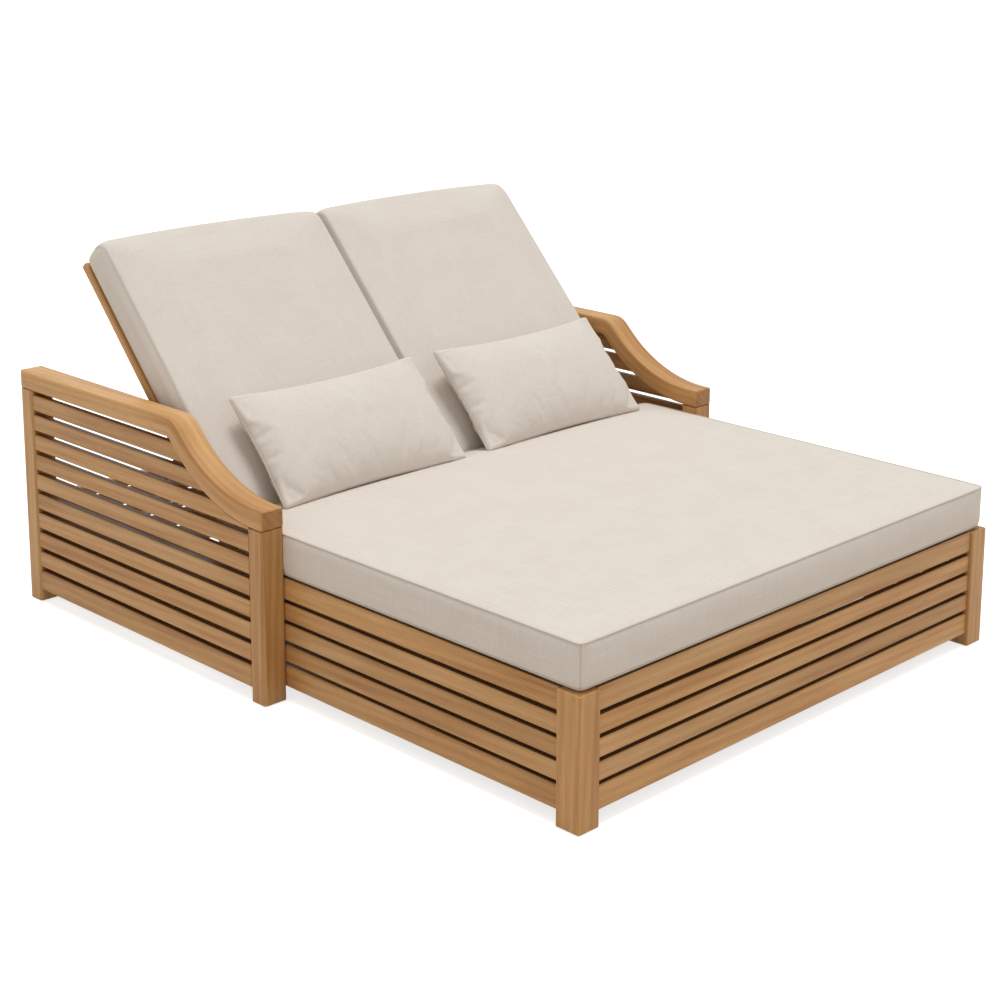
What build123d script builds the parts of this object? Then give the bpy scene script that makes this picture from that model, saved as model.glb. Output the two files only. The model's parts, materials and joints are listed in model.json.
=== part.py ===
from build123d import *
import math
import os

# A double chaise lounger of solid hardwood: a slatted base box with an arm bolted on each
# side, two backrests that recline one by one, and loose cushions.
# Millimetres. X runs across, from left to right seen from the foot end. Y runs from the
# foot end to the head end. Z is up, and the floor is Z = 0. The origin is on the floor
# under the middle of the frame.

# Overall sizes
base_width = 1530
frame_length = 2000
seat_height = 309
floor_gap = 34

# Timber sections
foot_post_width = 64
foot_post_depth = 68
arm_post_width = 67
arm_post_depth = 54
rail_thickness = 26
slat_thickness = 20
slat_width = 43
slat_least_gap = 9
bottom_rail_depth = 56
top_rail_depth = 53
panel_recess = 7
post_edge = 5
rail_edge = 4
slat_edge = 3

# Slat counts
deck_slat_count = 15
back_slat_count = 9

# Arms
arm_setback = 963
arm_high = 645
arm_low = 488
arm_rail_depth = 50
arm_slat_recess = 3
arm_front_level = 18
crest_radius = 56
sweep_radius = 411
sweep_angle = 46

# Under the seat
ledger_width = 30
ledger_depth = 45
beam_width = 44
beam_depth = 60
hinge_beam_width = 44
centre_leg_width = 60
centre_leg_setback = 760
corner_post_width = 45
deck_slat_width = 56
deck_thickness = 22
rest_gap = 0.5
end_gap = 0.5

# Backrests
recline_angle = 47.5
hinge_setback = 1230
back_centre_gap = 12
back_side_gap = 4
stile_width = 50
back_thickness = 22
back_rail_width = 54
back_rail_setback = 26
back_slat_width = 52
back_slat_thickness = 14

# Hinges
pin_radius = 4
pin_head_radius = 7.5
pin_head_length = 4
pin_clearance = 0.05
bracket_thickness = 4
bracket_width = 26
bracket_drop = 44
bracket_gap = 0.5
hinge_end_gap = 3

# Props
prop_pivot_along = 306
prop_length = 344
prop_pivot_drop = 24
prop_arm_width = 20
prop_arm_depth = 24
pivot_block_width = 22
pivot_block_length = 40
pivot_block_round = 12
prop_bar_radius = 7
prop_gap = 0.5

# Racks
rack_width = 22
rack_depth = 62
rack_positions = 5
rack_notch_radius = 9
rack_notch_depth = 7
rack_end_length = 34
rack_clearance = 0.7

# Fasteners and glides
bolt_radius = 4
hex_sides = 6
bolt_head_radius = 8
bolt_head_length = 4
bolt_grip = 32
bolt_setback = 13
bolt_drop = 18
glide_width = 34
glide_thickness = 3
glide_edge = 1

# Cushions
cushion_inset = 8
seat_cushion_thickness = 105
seat_cushion_crown = 10
seat_cushion_end_gap = 4
seat_cushion_nose = 12
back_cushion_thickness = 110
back_cushion_crown = 12
back_cushion_start = 35
back_cushion_length = 850
back_cushion_head_overhang = 13
back_cushion_overhang = 1
back_cushion_nose = 30
cushion_corner = 11
cushion_side_ease = 6
cushion_drawn_in = 4
cushion_bow = 5
cushion_gap = 0.3
cushion_station_shares = (-0.8, -0.4, 0, 0.4, 0.8)
cushion_end_share = 0.2
pillow_width = 612
pillow_height = 316
pillow_thickness = 122
pillow_edge = 9
pillow_flare = 6
pillow_run = 145
pillow_spacing = 696
pillow_gap = 0.4
pillow_settling_count = 5

# Modelling aids
cut_overrun = 5

# Planes that several pieces share
foot_y = -frame_length / 2
base_x = base_width / 2
post_foot_z = glide_thickness
panel_x = base_x - panel_recess
rail_inner_x = panel_x - rail_thickness
arm_outer_x = panel_x + arm_post_width
arm_panel_x = arm_outer_x - arm_slat_recess
arm_front_y = foot_y + arm_setback
arm_back_y = foot_y + frame_length
foot_panel_y = foot_y + panel_recess
foot_inner_y = foot_panel_y + rail_thickness
head_panel_y = arm_back_y - arm_slat_recess
head_inner_y = head_panel_y - rail_thickness
corner_post_y = head_panel_y - slat_thickness - corner_post_width
bottom_rail_top = floor_gap + bottom_rail_depth
ledger_top = seat_height - back_thickness - rest_gap
hinge_y = foot_y + hinge_setback
hinge_z = seat_height - back_thickness / 2
beam_rear_y = hinge_y - back_thickness / 2 - hinge_end_gap
beam_front_y = beam_rear_y - hinge_beam_width
back_inner_x = back_centre_gap / 2
back_width = rail_inner_x - back_side_gap - back_inner_x
back_outer_x = back_inner_x + back_width
outer_stile_x = back_outer_x - stile_width
inner_stile_x = back_inner_x + stile_width
back_length = back_cushion_start + back_cushion_length - back_cushion_head_overhang

# Where the slats of a panel lie: as many as fit between its two rails, with even gaps
side_room = seat_height - top_rail_depth - bottom_rail_top
side_slat_count = math.floor((side_room - slat_least_gap) / (slat_width + slat_least_gap))
side_gap = (side_room - side_slat_count * slat_width) / (side_slat_count + 1)
arm_room = arm_high - arm_rail_depth - bottom_rail_top
arm_slat_count = math.floor((arm_room - slat_least_gap) / (slat_width + slat_least_gap))
arm_gap = (arm_room - arm_slat_count * slat_width) / (arm_slat_count + 1)
side_slat_bottoms = [
    bottom_rail_top + side_gap + level * (slat_width + side_gap) for level in range(side_slat_count)
]
arm_slat_bottoms = [
    bottom_rail_top + arm_gap + level * (slat_width + arm_gap) for level in range(arm_slat_count)
]

# The backrest's frame is drawn lying flat, with the hinge axis as its origin, and turned up
back_place = Pos(0, hinge_y, hinge_z) * Rot(recline_angle, 0, 0)


def block(x_span, y_span, z_span):
    """A rectangular solid between three pairs of planes."""
    lows = [min(span) for span in (x_span, y_span, z_span)]
    sizes = [abs(span[1] - span[0]) for span in (x_span, y_span, z_span)]
    return Pos(*lows) * Box(*sizes, align=(Align.MIN, Align.MIN, Align.MIN))


def eased(solid, axis, width):
    """The solid with its edges along one axis chamfered."""
    return chamfer(solid.edges().filter_by(axis), width)


def rod(start, direction, length, radius):
    """A round rod from a point, along a direction."""
    return extrude(Plane(origin=start, z_dir=direction) * Circle(radius), amount=length)


def hex_head(start, direction, length, radius):
    """The hexagonal head of a bolt, from a point, along a direction."""
    outline = Plane(origin=start, z_dir=direction) * RegularPolygon(radius, hex_sides)
    return extrude(outline, amount=length)


def save(node, *solids):
    """Writes one sub-part's solids to its STEP file."""
    shape = solids[0] if len(solids) == 1 else Compound(children=list(solids))
    export_step(shape, f"parts/{node}.step")


# Base box


def foot_post(side):
    """A corner post at the foot end, its four long edges rounded and its top chamfered."""
    x_outer = side * base_x
    post = block(
        (x_outer, x_outer - side * foot_post_width),
        (foot_y, foot_y + foot_post_depth),
        (post_foot_z, seat_height),
    )
    post = fillet(post.edges().filter_by(Axis.Z), post_edge)
    return chamfer(post.faces().sort_by(Axis.Z)[-1].edges(), slat_edge)


def side_boards(side):
    """The top rail, slats and bottom rail of one side of the base."""
    y_span = (foot_y + foot_post_depth, head_panel_y)
    x_rail = (side * panel_x, side * rail_inner_x)
    x_slat = (side * panel_x, side * (panel_x - slat_thickness))
    top = eased(block(x_rail, y_span, (seat_height - top_rail_depth, seat_height)), Axis.Y, rail_edge)
    slats = [
        eased(block(x_slat, y_span, (low, low + slat_width)), Axis.Y, slat_edge) for low in side_slat_bottoms
    ]
    bottom = eased(block(x_rail, y_span, (floor_gap, bottom_rail_top)), Axis.Y, rail_edge)
    return drilled(top, side), slats, drilled(bottom, side)


def cross_boards(x_end, y_face, y_inward, top_z):
    """The top rail, slats and bottom rail that run across the foot or the head."""
    x_span = (-x_end, x_end)
    y_rail = (y_face, y_face + y_inward * rail_thickness)
    y_slat = (y_face, y_face + y_inward * slat_thickness)
    top = eased(block(x_span, y_rail, (seat_height - top_rail_depth, top_z)), Axis.X, rail_edge)
    slats = [
        eased(block(x_span, y_slat, (low, low + slat_width)), Axis.X, slat_edge) for low in side_slat_bottoms
    ]
    bottom = eased(block(x_span, y_rail, (floor_gap, bottom_rail_top)), Axis.X, rail_edge)
    return top, slats, bottom


def corner_post(side):
    """A square post inside a rear corner, between the rails, which the slats' ends are fixed to."""
    x_outer = side * (panel_x - slat_thickness)
    post = block(
        (x_outer, x_outer - side * corner_post_width),
        (corner_post_y, corner_post_y + corner_post_width),
        (bottom_rail_top, seat_height - top_rail_depth),
    )
    return eased(post, Axis.Z, slat_edge)


# Arms


def arc_between(centre, radius, start_angle, end_angle):
    """An arc about a point of the YZ plane, with its angles measured from +Y."""
    places = [
        (
            centre[0] + radius * math.cos(math.radians(angle)),
            centre[1] + radius * math.sin(math.radians(angle)),
        )
        for angle in (start_angle, (start_angle + end_angle) / 2, end_angle)
    ]
    return ThreePointArc(*places)


def arm_line(offset):
    """The S-curve of the arm, moved down square to itself by an offset, from head to foot."""
    turn = math.radians(sweep_angle)
    sweep_centre = (arm_front_y + arm_front_level, arm_low + sweep_radius)
    sweep_top = sweep_centre[1] - sweep_radius * math.cos(turn)
    slope_drop = arm_high - crest_radius * (1 - math.cos(turn)) - sweep_top
    crest_y = (
        sweep_centre[0]
        + (sweep_radius + crest_radius) * math.sin(turn)
        + slope_drop / math.tan(turn)
    )
    crest_centre = (crest_y, arm_high - crest_radius)
    crest = arc_between(crest_centre, crest_radius - offset, 90, 90 + sweep_angle)
    sweep = arc_between(sweep_centre, sweep_radius + offset, 270 + sweep_angle, 270)
    return [
        Line((arm_back_y, arm_high - offset), crest @ 0),
        crest,
        Line(crest @ 1, sweep @ 0),
        sweep,
        Line(sweep @ 1, (arm_front_y, arm_low - offset)),
    ]


def arm_profile(upper, lower_offset):
    """The face between an upper run of lines and the arm's curve moved down by an offset."""
    lower = arm_line(lower_offset)
    closing = [Line(upper[0] @ 0, lower[0] @ 0), Line(upper[-1] @ 1, lower[-1] @ 1)]
    return Plane.YZ * make_face(upper + lower + closing)


def arm_top_rail(side):
    """The S-curved rail, sawn from one plank, with its long edges chamfered."""
    rail = extrude(arm_profile(arm_line(0), arm_rail_depth), amount=arm_post_width)
    sides = rail.faces().sort_by(Axis.X)
    rail = chamfer(sides[0].edges() + sides[-1].edges(), rail_edge)
    rail = Pos(panel_x, 0, 0) * rail
    return rail if side > 0 else mirror(rail, Plane.YZ)


def arm_slats(side):
    """The arm's slats, the upper ones sawn off along the curved rail's under edge."""
    y_span = (arm_front_y + arm_post_depth, arm_back_y - arm_post_depth)
    above = [
        Line((arm_back_y, arm_high), (arm_front_y, arm_high)),
    ]
    over = extrude(arm_profile(above, arm_rail_depth), amount=arm_post_width)
    over = Pos(panel_x, 0, 0) * over
    slats = []
    for low in arm_slat_bottoms:
        slat = block((arm_panel_x - slat_thickness, arm_panel_x), y_span, (low, low + slat_width))
        slat = eased(slat, Axis.Y, slat_edge)
        if low + slat_width > arm_low - arm_rail_depth:
            slat = (slat - over).solids().sort_by(Axis.Y)[-1]
        slats.append(slat if side > 0 else mirror(slat, Plane.YZ))
    return slats


def arm_posts(side):
    """The front and back posts of one arm, drilled for the bolts that hold them to the base."""
    posts = []
    for y_low, top in (
        (arm_front_y, arm_low - arm_rail_depth),
        (arm_back_y - arm_post_depth, arm_high - arm_rail_depth),
    ):
        post = block(
            (side * panel_x, side * arm_outer_x),
            (y_low, y_low + arm_post_depth),
            (post_foot_z, top),
        )
        posts.append(drilled(eased(post, Axis.Z, post_edge), side))
    return posts


def arm_bottom_rail(side):
    """The rail under the arm's slats."""
    rail = block(
        (side * arm_panel_x, side * (arm_panel_x - rail_thickness)),
        (arm_front_y + arm_post_depth, arm_back_y - arm_post_depth),
        (floor_gap, bottom_rail_top),
    )
    return eased(rail, Axis.Y, rail_edge)


def bolt_shanks(side):
    """The shanks of one arm's bolts, which run from inside the base into the arm's posts."""
    places = (
        (arm_front_y + bolt_setback, floor_gap + bottom_rail_depth / 2),
        (arm_back_y - arm_post_depth + bolt_setback, ledger_top - bolt_drop),
    )
    length = rail_thickness + bolt_grip
    return [rod((side * rail_inner_x, *place), (side, 0, 0), length, bolt_radius) for place in places]


def drilled(board, side):
    """A board with the holes for one arm's bolts."""
    for shank in bolt_shanks(side):
        board -= shank
    return board


def arm_bolts():
    """The bolts through the base's side rails into the arm posts."""
    bolts = []
    for side in (-1, 1):
        for shank in bolt_shanks(side):
            start = shank.faces().sort_by(Axis.X)[0 if side > 0 else -1].center()
            bolts.append(shank + hex_head(start, (-side, 0, 0), bolt_head_length, bolt_head_radius))
    return bolts


# Under the seat


def ledger(side):
    """The strip inside one side that carries the deck slats and the lowered backrest."""
    x_outer = side * rail_inner_x
    strip = block(
        (x_outer, x_outer - side * ledger_width),
        (foot_y + foot_post_depth, corner_post_y),
        (ledger_top - ledger_depth, ledger_top),
    )
    return eased(strip, Axis.Y, slat_edge)


def centre_beam():
    """The beam down the middle, notched over half its depth where the hinge beam crosses it."""
    beam = block(
        (-beam_width / 2, beam_width / 2),
        (foot_inner_y, head_inner_y),
        (ledger_top - beam_depth, ledger_top),
    )
    beam = eased(beam, Axis.Y, slat_edge)
    return beam - block(
        (-beam_width, beam_width),
        (beam_front_y, beam_rear_y),
        (ledger_top - beam_depth / 2, ledger_top + cut_overrun),
    )


def hinge_beam():
    """The cross beam that the backrests hinge on, with a notch that drops over the centre beam."""
    beam = block(
        (-rail_inner_x, rail_inner_x),
        (beam_front_y, beam_rear_y),
        (ledger_top - beam_depth, seat_height),
    )
    beam = eased(beam, Axis.X, slat_edge)
    beam -= block(
        (-beam_width / 2, beam_width / 2),
        (beam_front_y - cut_overrun, beam_rear_y + cut_overrun),
        (ledger_top - beam_depth - cut_overrun, ledger_top - beam_depth / 2),
    )
    for side in (-1, 1):
        beam -= block(
            (side * (rail_inner_x - ledger_width), side * (rail_inner_x + cut_overrun)),
            (beam_front_y - cut_overrun, beam_rear_y + cut_overrun),
            (ledger_top - beam_depth - cut_overrun, ledger_top),
        )
    return beam


def centre_leg():
    """The leg under the centre beam."""
    y_low = foot_y + centre_leg_setback
    leg = block(
        (-centre_leg_width / 2, centre_leg_width / 2),
        (y_low, y_low + centre_leg_width),
        (post_foot_z, ledger_top - beam_depth),
    )
    return eased(leg, Axis.Z, slat_edge)


def deck_slats():
    """The slats under the seat cushion, evenly spaced between the foot posts and the hinge beam."""
    start = foot_y + foot_post_depth
    room = beam_front_y - start
    gap = (room - deck_slat_count * deck_slat_width) / (deck_slat_count + 1)
    x_end = rail_inner_x - end_gap
    slats = []
    for index in range(deck_slat_count):
        y_low = start + gap + index * (deck_slat_width + gap)
        slat = block(
            (-x_end, x_end),
            (y_low, y_low + deck_slat_width),
            (ledger_top, ledger_top + deck_thickness),
        )
        top = slat.faces().sort_by(Axis.Z)[-1]
        slats.append(chamfer(top.edges().filter_by(Axis.X), slat_edge))
    return slats


def stile_sides():
    """For both stiles of a backrest: the face towards its middle and the way that face looks."""
    return ((outer_stile_x, -1), (inner_stile_x, 1))


def hinge_bracket(side, face_x, inward):
    """A steel angle on the hinge beam, with an eye beside a stile for its hinge pin."""
    x_near = side * (face_x + inward * bracket_gap)
    x_ear = side * (face_x + inward * (bracket_gap + bracket_thickness))
    x_far = side * (face_x + inward * (bracket_gap + bracket_width))
    eye_radius = back_thickness / 2
    plate = block(
        (x_near, x_far),
        (beam_rear_y, beam_rear_y + bracket_thickness),
        (seat_height - bracket_drop, seat_height),
    )
    ear = block(
        (x_near, x_ear),
        (beam_rear_y, hinge_y),
        (hinge_z - eye_radius, hinge_z + eye_radius),
    )
    eye = rod((min(x_near, x_ear), hinge_y, hinge_z), (1, 0, 0), bracket_thickness, eye_radius)
    bore = rod(
        (min(x_near, x_ear) - cut_overrun, hinge_y, hinge_z),
        (1, 0, 0),
        bracket_thickness + 2 * cut_overrun,
        pin_radius + pin_clearance,
    )
    return plate + ear + eye - bore


def foot_bar_place(angle):
    """Where the foot bar's axis stands, behind the hinge axis, at an angle of the backrest."""
    turn = math.radians(angle)
    along = prop_pivot_along * math.cos(turn) + prop_pivot_drop * math.sin(turn)
    rise = prop_pivot_along * math.sin(turn) - prop_pivot_drop * math.cos(turn) + prop_pivot_drop
    return along + math.sqrt(prop_length**2 - rise**2)


def rack(side, x_span):
    """A notched board under a backrest, with a seat for the foot bar at each reclining angle."""
    tips = hinge_z - prop_pivot_drop - prop_bar_radius - rack_clearance
    step = recline_angle / (rack_positions - 1)
    seats = [hinge_y + foot_bar_place(step * index) for index in range(rack_positions)]
    board = block(
        [side * x for x in x_span],
        (min(seats) - rack_end_length, max(seats) + rack_end_length),
        (tips - rack_depth, tips),
    )
    board = eased(board, Axis.X, rail_edge)
    for seat in seats:
        centre_z = tips - rack_notch_depth + rack_notch_radius
        start = (min(side * x for x in x_span) - cut_overrun, seat, centre_z)
        board -= rod(start, (1, 0, 0), rack_width + 2 * cut_overrun, rack_notch_radius)
    return board


def outer_rack(side):
    """The rack on the ledger's inner face."""
    x_face = rail_inner_x - ledger_width
    return rack(side, (x_face - rack_width, x_face))


def inner_rack(side):
    """The rack on the centre beam's face."""
    x_face = beam_width / 2
    return rack(side, (x_face, x_face + rack_width))


# Backrests


def stile(side, x_span, face_x, inward):
    """A long side member of a backrest, round about the hinge pin and drilled for it."""
    radius = back_thickness / 2
    xs = [side * x for x in x_span]
    board = eased(block(xs, (0, back_length), (-radius, radius)), Axis.Y, slat_edge)
    board += rod((min(xs), 0, 0), (1, 0, 0), stile_width, radius)
    start = side * (face_x - inward * stile_width / 2)
    board -= rod((start, 0, 0), (side * inward, 0, 0), stile_width / 2 + cut_overrun, pin_radius)
    return back_place * board


def stiles(side):
    """The two stiles of one backrest."""
    return [
        stile(side, (outer_stile_x, back_outer_x), outer_stile_x, -1),
        stile(side, (back_inner_x, inner_stile_x), inner_stile_x, 1),
    ]


def back_cross_member(side, y_low, width, thickness):
    """A rail or slat across a backrest, flush with the front of the stiles."""
    front = back_thickness / 2
    board = block(
        (side * inner_stile_x, side * outer_stile_x), (y_low, y_low + width), (front - thickness, front)
    )
    return back_place * eased(board, Axis.X, slat_edge)


def back_slats(side):
    """The slats between the two rails of a backrest, evenly spaced."""
    start = back_rail_setback + back_rail_width
    room = back_length - back_rail_width - start
    gap = (room - back_slat_count * back_slat_width) / (back_slat_count + 1)
    return [
        back_cross_member(
            side, start + gap + index * (back_slat_width + gap), back_slat_width, back_slat_thickness
        )
        for index in range(back_slat_count)
    ]


def hinge_pins(side):
    """The pins fixed in the stiles, which turn in the brackets' eyes."""
    pins = []
    for face_x, inward in stile_sides():
        shank_start = side * (face_x - inward * stile_width / 2)
        shank_length = stile_width / 2 + bracket_gap + bracket_thickness + bracket_gap
        head_start = shank_start + side * inward * shank_length
        shank = rod((shank_start, 0, 0), (side * inward, 0, 0), shank_length, pin_radius)
        head = hex_head((head_start, 0, 0), (side * inward, 0, 0), pin_head_length, pin_head_radius)
        pins.append(back_place * (shank + head))
    return pins


def pivot_block(side, face_x, inward):
    """A lug behind a stile, tapering to a round nose, that the prop's arm is bolted to."""
    back_face = -back_thickness / 2
    pivot = (prop_pivot_along, -prop_pivot_drop)
    foot = Line(
        (prop_pivot_along - pivot_block_length / 2, back_face),
        (prop_pivot_along + pivot_block_length / 2, back_face),
    )
    nose = CenterArc(pivot, pivot_block_round, 0, 360)
    x_start = side * face_x
    if side * inward > 0:
        x_start -= pivot_block_width
    outline = Plane.YZ.offset(x_start) * make_hull([foot, nose])
    lug = extrude(outline, amount=pivot_block_width)
    bore_start = side * (face_x - inward * pivot_block_width / 2)
    lug -= rod((bore_start, *pivot), (side * inward, 0, 0), pivot_block_width, pin_radius)
    return back_place * lug


def prop_bolts(side):
    """The bolts fixed in the pivot blocks, which the prop's arms turn on."""
    pivot = (prop_pivot_along, -prop_pivot_drop)
    shank_length = pivot_block_width / 2 + prop_gap + prop_arm_width + prop_gap
    bolts = []
    for face_x, inward in stile_sides():
        direction = (side * inward, 0, 0)
        start_x = side * (face_x - inward * pivot_block_width / 2)
        shank = rod((start_x, *pivot), direction, shank_length, pin_radius)
        head_x = start_x + side * inward * shank_length
        head = hex_head((head_x, *pivot), direction, pin_head_length, pin_head_radius)
        bolts.append(back_place * (shank + head))
    return bolts


# Props


def prop_ends():
    """The pivot and the foot bar's axis in the YZ plane, with the backrest raised."""
    turn = math.radians(recline_angle)
    pivot = (
        hinge_y + prop_pivot_along * math.cos(turn) + prop_pivot_drop * math.sin(turn),
        hinge_z + prop_pivot_along * math.sin(turn) - prop_pivot_drop * math.cos(turn),
    )
    foot = (hinge_y + foot_bar_place(recline_angle), hinge_z - prop_pivot_drop)
    return pivot, foot


def prop_arm_span(side, face_x, inward):
    """The two X planes of a prop arm."""
    return (
        side * (face_x + inward * prop_gap),
        side * (face_x + inward * (prop_gap + prop_arm_width)),
    )


def prop_arms(side):
    """The two arms of a prop, round at both ends and drilled for the pivot and the foot bar."""
    pivot, foot = prop_ends()
    slope = math.degrees(math.atan2(foot[1] - pivot[1], foot[0] - pivot[0]))
    place = Pos(0, *pivot) * Rot(slope, 0, 0)
    outline = SlotCenterToCenter(prop_length, prop_arm_depth)
    outline -= Pos(-prop_length / 2, 0) * Circle(pin_radius + pin_clearance)
    outline -= Pos(prop_length / 2, 0) * Circle(prop_bar_radius)
    arms = []
    for face_x, inward in stile_sides():
        x_start = min(prop_arm_span(side, face_x, inward))
        middle = Plane(origin=(x_start, prop_length / 2, 0), x_dir=(0, 1, 0), z_dir=(1, 0, 0))
        arms.append(place * extrude(middle * outline, amount=prop_arm_width))
    return arms


def prop_bar(side):
    """The steel foot bar through both arms, with ends that reach over the racks."""
    foot = prop_ends()[1]
    ends = (beam_width / 2 + prop_gap, rail_inner_x - ledger_width - prop_gap)
    x_low, x_high = sorted(side * x for x in ends)
    return rod((x_low, *foot), (1, 0, 0), x_high - x_low, prop_bar_radius)


# Feet


def floor_glides():
    """A plastic glide under each leg."""
    xs_foot = base_x - foot_post_width / 2
    xs_arm = (panel_x + arm_outer_x) / 2
    places = [(0, foot_y + centre_leg_setback + centre_leg_width / 2)]
    for side in (-1, 1):
        places += [
            (side * xs_foot, foot_y + foot_post_depth / 2),
            (side * xs_arm, arm_front_y + arm_post_depth / 2),
            (side * xs_arm, arm_back_y - arm_post_depth / 2),
        ]
    glides = []
    half = glide_width / 2
    for x, y in places:
        glide = block((x - half, x + half), (y - half, y + half), (0, glide_thickness))
        glides.append(chamfer(glide.faces().sort_by(Axis.Z)[0].edges(), glide_edge))
    return glides


# Cushions


def cushion_section(x, y_span, z_span, nose, bow, crown):
    """A closed outline square to X: flat below, bowed ends, a crowned top and rounded corners."""
    y_low, y_high = y_span
    z_low, z_high = z_span
    z_flat_low = z_low + cushion_corner
    z_flat_high = z_high - cushion_corner
    y_flat_low = y_low + cushion_corner
    lines = [
        Line((y_flat_low, z_low), (y_high - cushion_corner, z_low)),
        RadiusArc((y_high - cushion_corner, z_low), (y_high, z_flat_low), -cushion_corner),
        ThreePointArc(
            (y_high, z_flat_low), (y_high + bow, (z_flat_low + z_high - nose) / 2), (y_high, z_high - nose)
        ),
        RadiusArc((y_high, z_high - nose), (y_high - nose, z_high), -nose),
        ThreePointArc((y_high - nose, z_high), ((y_low + y_high) / 2, z_high + crown), (y_flat_low, z_high)),
        RadiusArc((y_flat_low, z_high), (y_low, z_flat_high), -cushion_corner),
        ThreePointArc((y_low, z_flat_high), (y_low - bow, (z_low + z_high) / 2), (y_low, z_flat_low)),
        RadiusArc((y_low, z_flat_low), (y_flat_low, z_low), -cushion_corner),
    ]
    return Plane.YZ.offset(x) * make_face(lines)


def box_cushion(width, y_span, z_span, crown, nose):
    """A boxed cushion: crowned, drawn in between its corners, with bowed ends and eased sides."""
    y_low, y_high = y_span
    z_low, z_high = z_span
    half = width / 2
    stations = [(-half, cushion_side_ease), (cushion_side_ease - half, 0)]
    stations += [(share * half, 0) for share in cushion_station_shares]
    stations += [(half - cushion_side_ease, 0), (half, cushion_side_ease)]
    faces = []
    for x, ease in stations:
        fullness = 1 - (1 - cushion_end_share) * (x / half) ** 2
        inset = cushion_drawn_in * fullness + ease
        section = cushion_section(
            x,
            (y_low + inset, y_high - inset),
            (z_low + ease, z_high - ease),
            nose,
            cushion_bow * fullness,
            crown * fullness,
        )
        faces.append(section)
    return loft(faces, ruled=True)


def seat_cushion():
    """The wide cushion on the deck, which ends just short of the raised backrests."""
    turn = math.radians(recline_angle)
    height = back_thickness / 2 + cushion_gap + back_cushion_thickness
    back_corner = hinge_y + back_cushion_start * math.cos(turn) - height * math.sin(turn)
    return box_cushion(
        base_width - 2 * cushion_inset,
        (foot_y + cushion_inset, back_corner - seat_cushion_end_gap),
        (seat_height + cushion_gap, seat_height + cushion_gap + seat_cushion_thickness),
        seat_cushion_crown,
        seat_cushion_nose,
    )


def back_cushion(side):
    """The cushion on one backrest, with a rounder upper end."""
    front = back_thickness / 2 + cushion_gap
    cushion = box_cushion(
        back_width + 2 * back_cushion_overhang,
        (back_cushion_start, back_cushion_start + back_cushion_length),
        (front, front + back_cushion_thickness),
        back_cushion_crown,
        back_cushion_nose,
    )
    return back_place * Pos(side * (back_inner_x + back_width / 2), 0, 0) * cushion


def swollen(length):
    """An outline with thin ends that swells to a pillow's full thickness, a run in from each end."""
    edge = pillow_edge / 2
    top = pillow_thickness / 2
    end = length / 2
    flat = end - pillow_run
    radius = (pillow_run**2 + (top - edge) ** 2) / (2 * (top - edge))
    half_turn = math.asin(pillow_run / radius) / 2
    middle = (flat + radius * math.sin(half_turn), top - radius * (1 - math.cos(half_turn)))
    lines = [Line((-end, -edge), (-end, edge)), Line((end, -edge), (end, edge))]
    for face in (-1, 1):
        lines.append(Line((-flat, face * top), (flat, face * top)))
        for hand in (-1, 1):
            lines.append(
                ThreePointArc(
                    (hand * end, face * edge), (hand * middle[0], face * middle[1]), (hand * flat, face * top)
                )
            )
    return make_face(lines)


def drawn_in_outline(width, height, inset):
    """A rectangle whose four sides are drawn in between its corners."""
    x, y = width / 2, height / 2
    return make_face([
        ThreePointArc((-x, -y), (0, inset - y), (x, -y)),
        ThreePointArc((x, -y), (x - inset, 0), (x, y)),
        ThreePointArc((x, y), (0, y - inset), (-x, y)),
        ThreePointArc((-x, y), (inset - x, 0), (-x, -y)),
    ])


def pillow(side):
    """A loose lumbar pillow: swollen both ways, thin at its edge and drawn in between its corners."""
    body = extrude(Plane.XZ * swollen(pillow_width), amount=pillow_height / 2, both=True)
    body &= extrude(Plane.YZ * swollen(pillow_height), amount=pillow_width / 2, both=True)
    outline = drawn_in_outline(pillow_width, pillow_height, pillow_flare)
    body &= extrude(outline, amount=pillow_thickness, both=True)
    stand_off = back_thickness / 2 + back_cushion_thickness + 2 * back_cushion_crown + pillow_thickness / 2
    start = Pos(side * pillow_spacing / 2, back_cushion_start + pillow_height / 2, stand_off)
    return settled(back_place * start * body, side)


def settled(body, side):
    """A pillow pushed back and slid down until it leans on a back cushion and the seat cushion."""
    turn = math.radians(recline_angle)
    supports = (
        (back_cushion(side), Vector(0, math.sin(turn), -math.cos(turn))),
        (seat_cushion(), Vector(0, -math.cos(turn), -math.sin(turn))),
    )
    for support, direction in supports * pillow_settling_count:
        travel = direction * (body.distance_to(support) - pillow_gap)
        body = Pos(*travel) * body
    return body


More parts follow.
